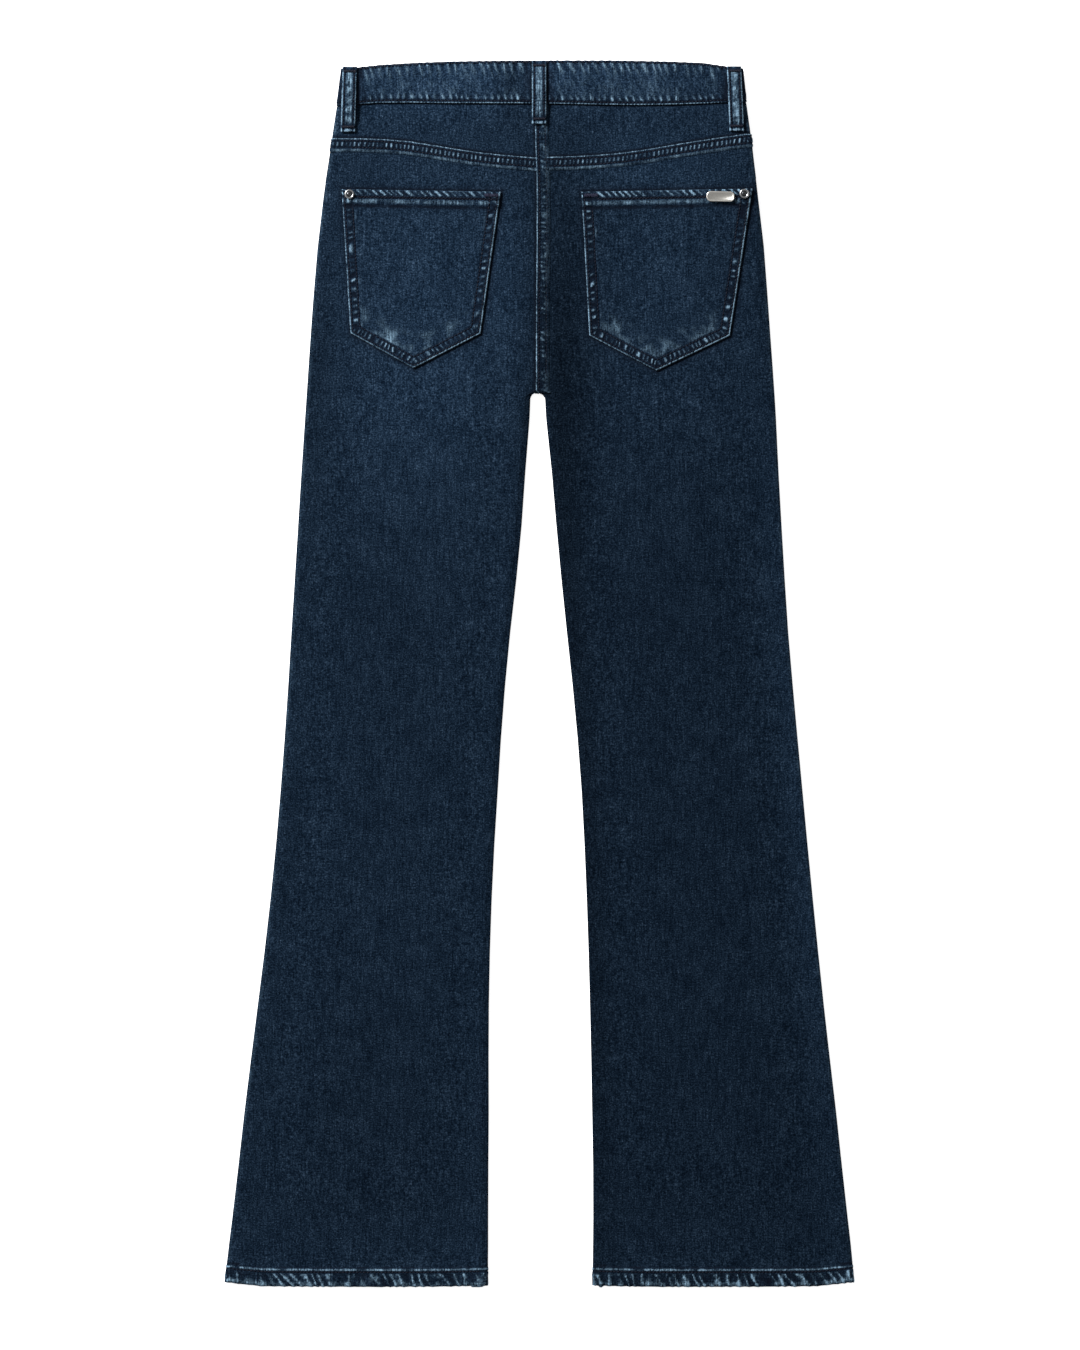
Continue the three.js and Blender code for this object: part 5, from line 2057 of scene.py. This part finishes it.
class Studio:
    """The pale table, the soft lights and the camera straight above."""

    PHOTO = (1080, 1350)
    PIXEL = 0.92
    LENS = 85.0
    SENSOR = 36.0
    LOOK_AT = (0.92, -1.1, 2.0)
    TABLE_TOP = -0.8
    TABLE_REACH = 30.0
    KEY_AT = (-4.4, 3.8, 3.0)
    KEY_SIZE = 1.3
    KEY_POWER = 1080.0
    SKY = 0.3

    def build(self) -> None:
        """Sets up table, light and camera."""
        mesh = bmesh.new()
        bmesh.ops.create_grid(mesh, x_segments=2, y_segments=2, size=self.TABLE_REACH)
        bmesh.ops.translate(mesh, verts=mesh.verts, vec=(0, 0, self.TABLE_TOP * MM))
        data = bpy.data.meshes.new("table")
        mesh.to_mesh(data)
        mesh.free()
        data.materials.append(Board().make())
        table = bpy.data.objects.new("table", data)
        bpy.context.scene.collection.objects.link(table)
        self.light("key", self.KEY_AT, self.KEY_SIZE, self.KEY_POWER)
        world = bpy.data.worlds.new("studio")
        world.use_nodes = True
        sky = world.node_tree.nodes["Background"].inputs
        sky["Color"].default_value = rgba(1.0, 1.0, 1.0)
        sky["Strength"].default_value = self.SKY
        bpy.context.scene.world = world
        bpy.context.scene.view_settings.view_transform = "Standard"
        self.camera()

    def light(self, name: str, at: Sequence[float], size: float, power: float) -> None:
        """Hangs one soft square light that looks at the garment.

        Args:
            name: its name.
            at: its place in metres.
            size: its side in metres.
            power: its power in watts.
        """
        lamp = bpy.data.lights.new(name, "AREA")
        lamp.size = size
        lamp.energy = power
        holder = bpy.data.objects.new(name, lamp)
        holder.location = at
        holder.rotation_euler = (-Vector(at)).to_track_quat("-Z", "Y").to_euler()
        bpy.context.scene.collection.objects.link(holder)

    def camera(self) -> None:
        """Hangs the camera where the photograph was taken from."""
        lens = bpy.data.cameras.new("camera")
        lens.lens = self.LENS
        lens.sensor_width = self.SENSOR
        lens.clip_end = 20.0
        seen = self.PHOTO[1] * self.PIXEL * MM
        x, y, z = (value * MM for value in self.LOOK_AT)
        holder = bpy.data.objects.new("camera", lens)
        holder.location = (x, y, z + seen * self.LENS / self.SENSOR)
        bpy.context.scene.collection.objects.link(holder)
        bpy.context.scene.camera = holder


class Jeans:
    """The whole garment, built from its panels outwards."""

    LOOPS = ("centre_back", "back_left", "back_right")
    FRONTS = ("waistband_front_left", "waistband_front_right")
    FACING_WALL = 0.7
    FACING_INSET = 0.1
    FLY_WALL = 0.8
    FLY_ROWS = (2.2, 8.6, 34.0)
    BADGE_TILT = -0.02

    def __init__(self) -> None:
        """Prepares the workroom."""
        self.room = Workroom()
        self.backs: dict[Side, LegPanel] = {}
        self.fronts: dict[Side, LegPanel] = {}
        self.yokes: dict[Side, Yoke] = {}

    def build_legs(self) -> None:
        """Builds the front and back leg panels."""
        for side in Side:
            self.fronts[side] = LegPanel(self.room, side, Face.DOWN)
            self.backs[side] = LegPanel(self.room, side, Face.UP, PatchPocket(self.room, side))
            for leg in (self.fronts[side], self.backs[side]):
                leg.build()

    def build_back(self) -> None:
        """Builds the yokes, the felled seams, the waistband and the pockets."""
        room = self.room
        for side in Side:
            self.yokes[side] = Yoke(room, side, self.backs[side])
            self.yokes[side].build()
        seam = CentreSeam(room, self.backs[Side.RIGHT], self.yokes[Side.RIGHT])
        seam.build()
        band = Waistband(room, "waistband_back", Face.UP, (528.0, 553.0), (Edge.ROLLED, Edge.ROLLED))
        # The belt loops' places, for the painted shade beside them on the band.
        for place in self.LOOPS:
            low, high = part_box(f"belt_loop_{place}")
            band.loops.append(((low.x + high.x) / 2 / MM, (high.x - low.x) / 2 / MM))
        band.build()
        room.declare(band.panel, band.piece, self.FRONTS, [band.thread])
        for side in Side:
            yoke, leg = self.yokes[side], self.backs[side]
            front = f"front_leg_{side.word}"
            parts = [leg.parts[0], leg.parts_thread, yoke.band_piece, yoke.band_thread]
            if side is Side.RIGHT:
                parts += [seam.piece, seam.thread]
            room.declare(leg.panel, leg.piece, [front], parts)
            room.declare(yoke.panel, yoke.piece, [front], tucked=yoke.TUCKED)
            leg.pocket.build(leg)
        for place in self.LOOPS:
            BeltLoop(room, f"belt_loop_{place}", Face.UP, ["waistband_back"]).build()

    def build_front(self) -> None:
        """Builds the front waistband, the fly, the facings and the front loops."""
        room = self.room
        for side in Side:
            leg = self.fronts[side]
            node = f"waistband_front_{side.word}"
            band = Waistband(room, node, Face.DOWN, (528.0, 530.5), side_edges(side, Edge.BUTTED))
            band.build()
            room.declare(band.panel, band.piece, ["table"], [band.thread])
            room.declare(leg.panel, leg.piece, ["table"], [*leg.parts, leg.parts_thread])
            facing = FlatPiece(room, f"front_pocket_facing_{side.word}", self.FACING_INSET)
            facing.build(self.FACING_WALL, on=[f"back_leg_{side.word}"])
            BeltLoop(room, f"belt_loop_front_{side.word}", Face.DOWN, [node]).build()
        FlatPiece(room, "fly", 0.0).build(self.FLY_WALL, rows=self.FLY_ROWS, on=["front_leg_right"])

    def build_trim(self) -> None:
        """Sets the rivets, the badge and the button."""
        for side in Side:
            Trim(self.room, f"pocket_rivet_{side.word}", "metal_trim").turned(RIVET_PROFILE, Face.UP)
        Trim(self.room, "pocket_badge", "badge_metal").bar(self.BADGE_TILT)
        Trim(self.room, "waist_button", "metal_trim").turned(BUTTON_PROFILE, Face.DOWN)

    def build(self) -> None:
        """Builds everything in order."""
        self.build_legs()
        self.build_back()
        self.build_front()
        self.build_trim()


def main() -> None:
    """Builds the studio and the jeans."""
    logging.basicConfig(level=logging.INFO, format="%(name)s: %(message)s")
    Studio().build()
    log.info("studio ready")
    Jeans().build()


if __name__ == "__main__":
    main()
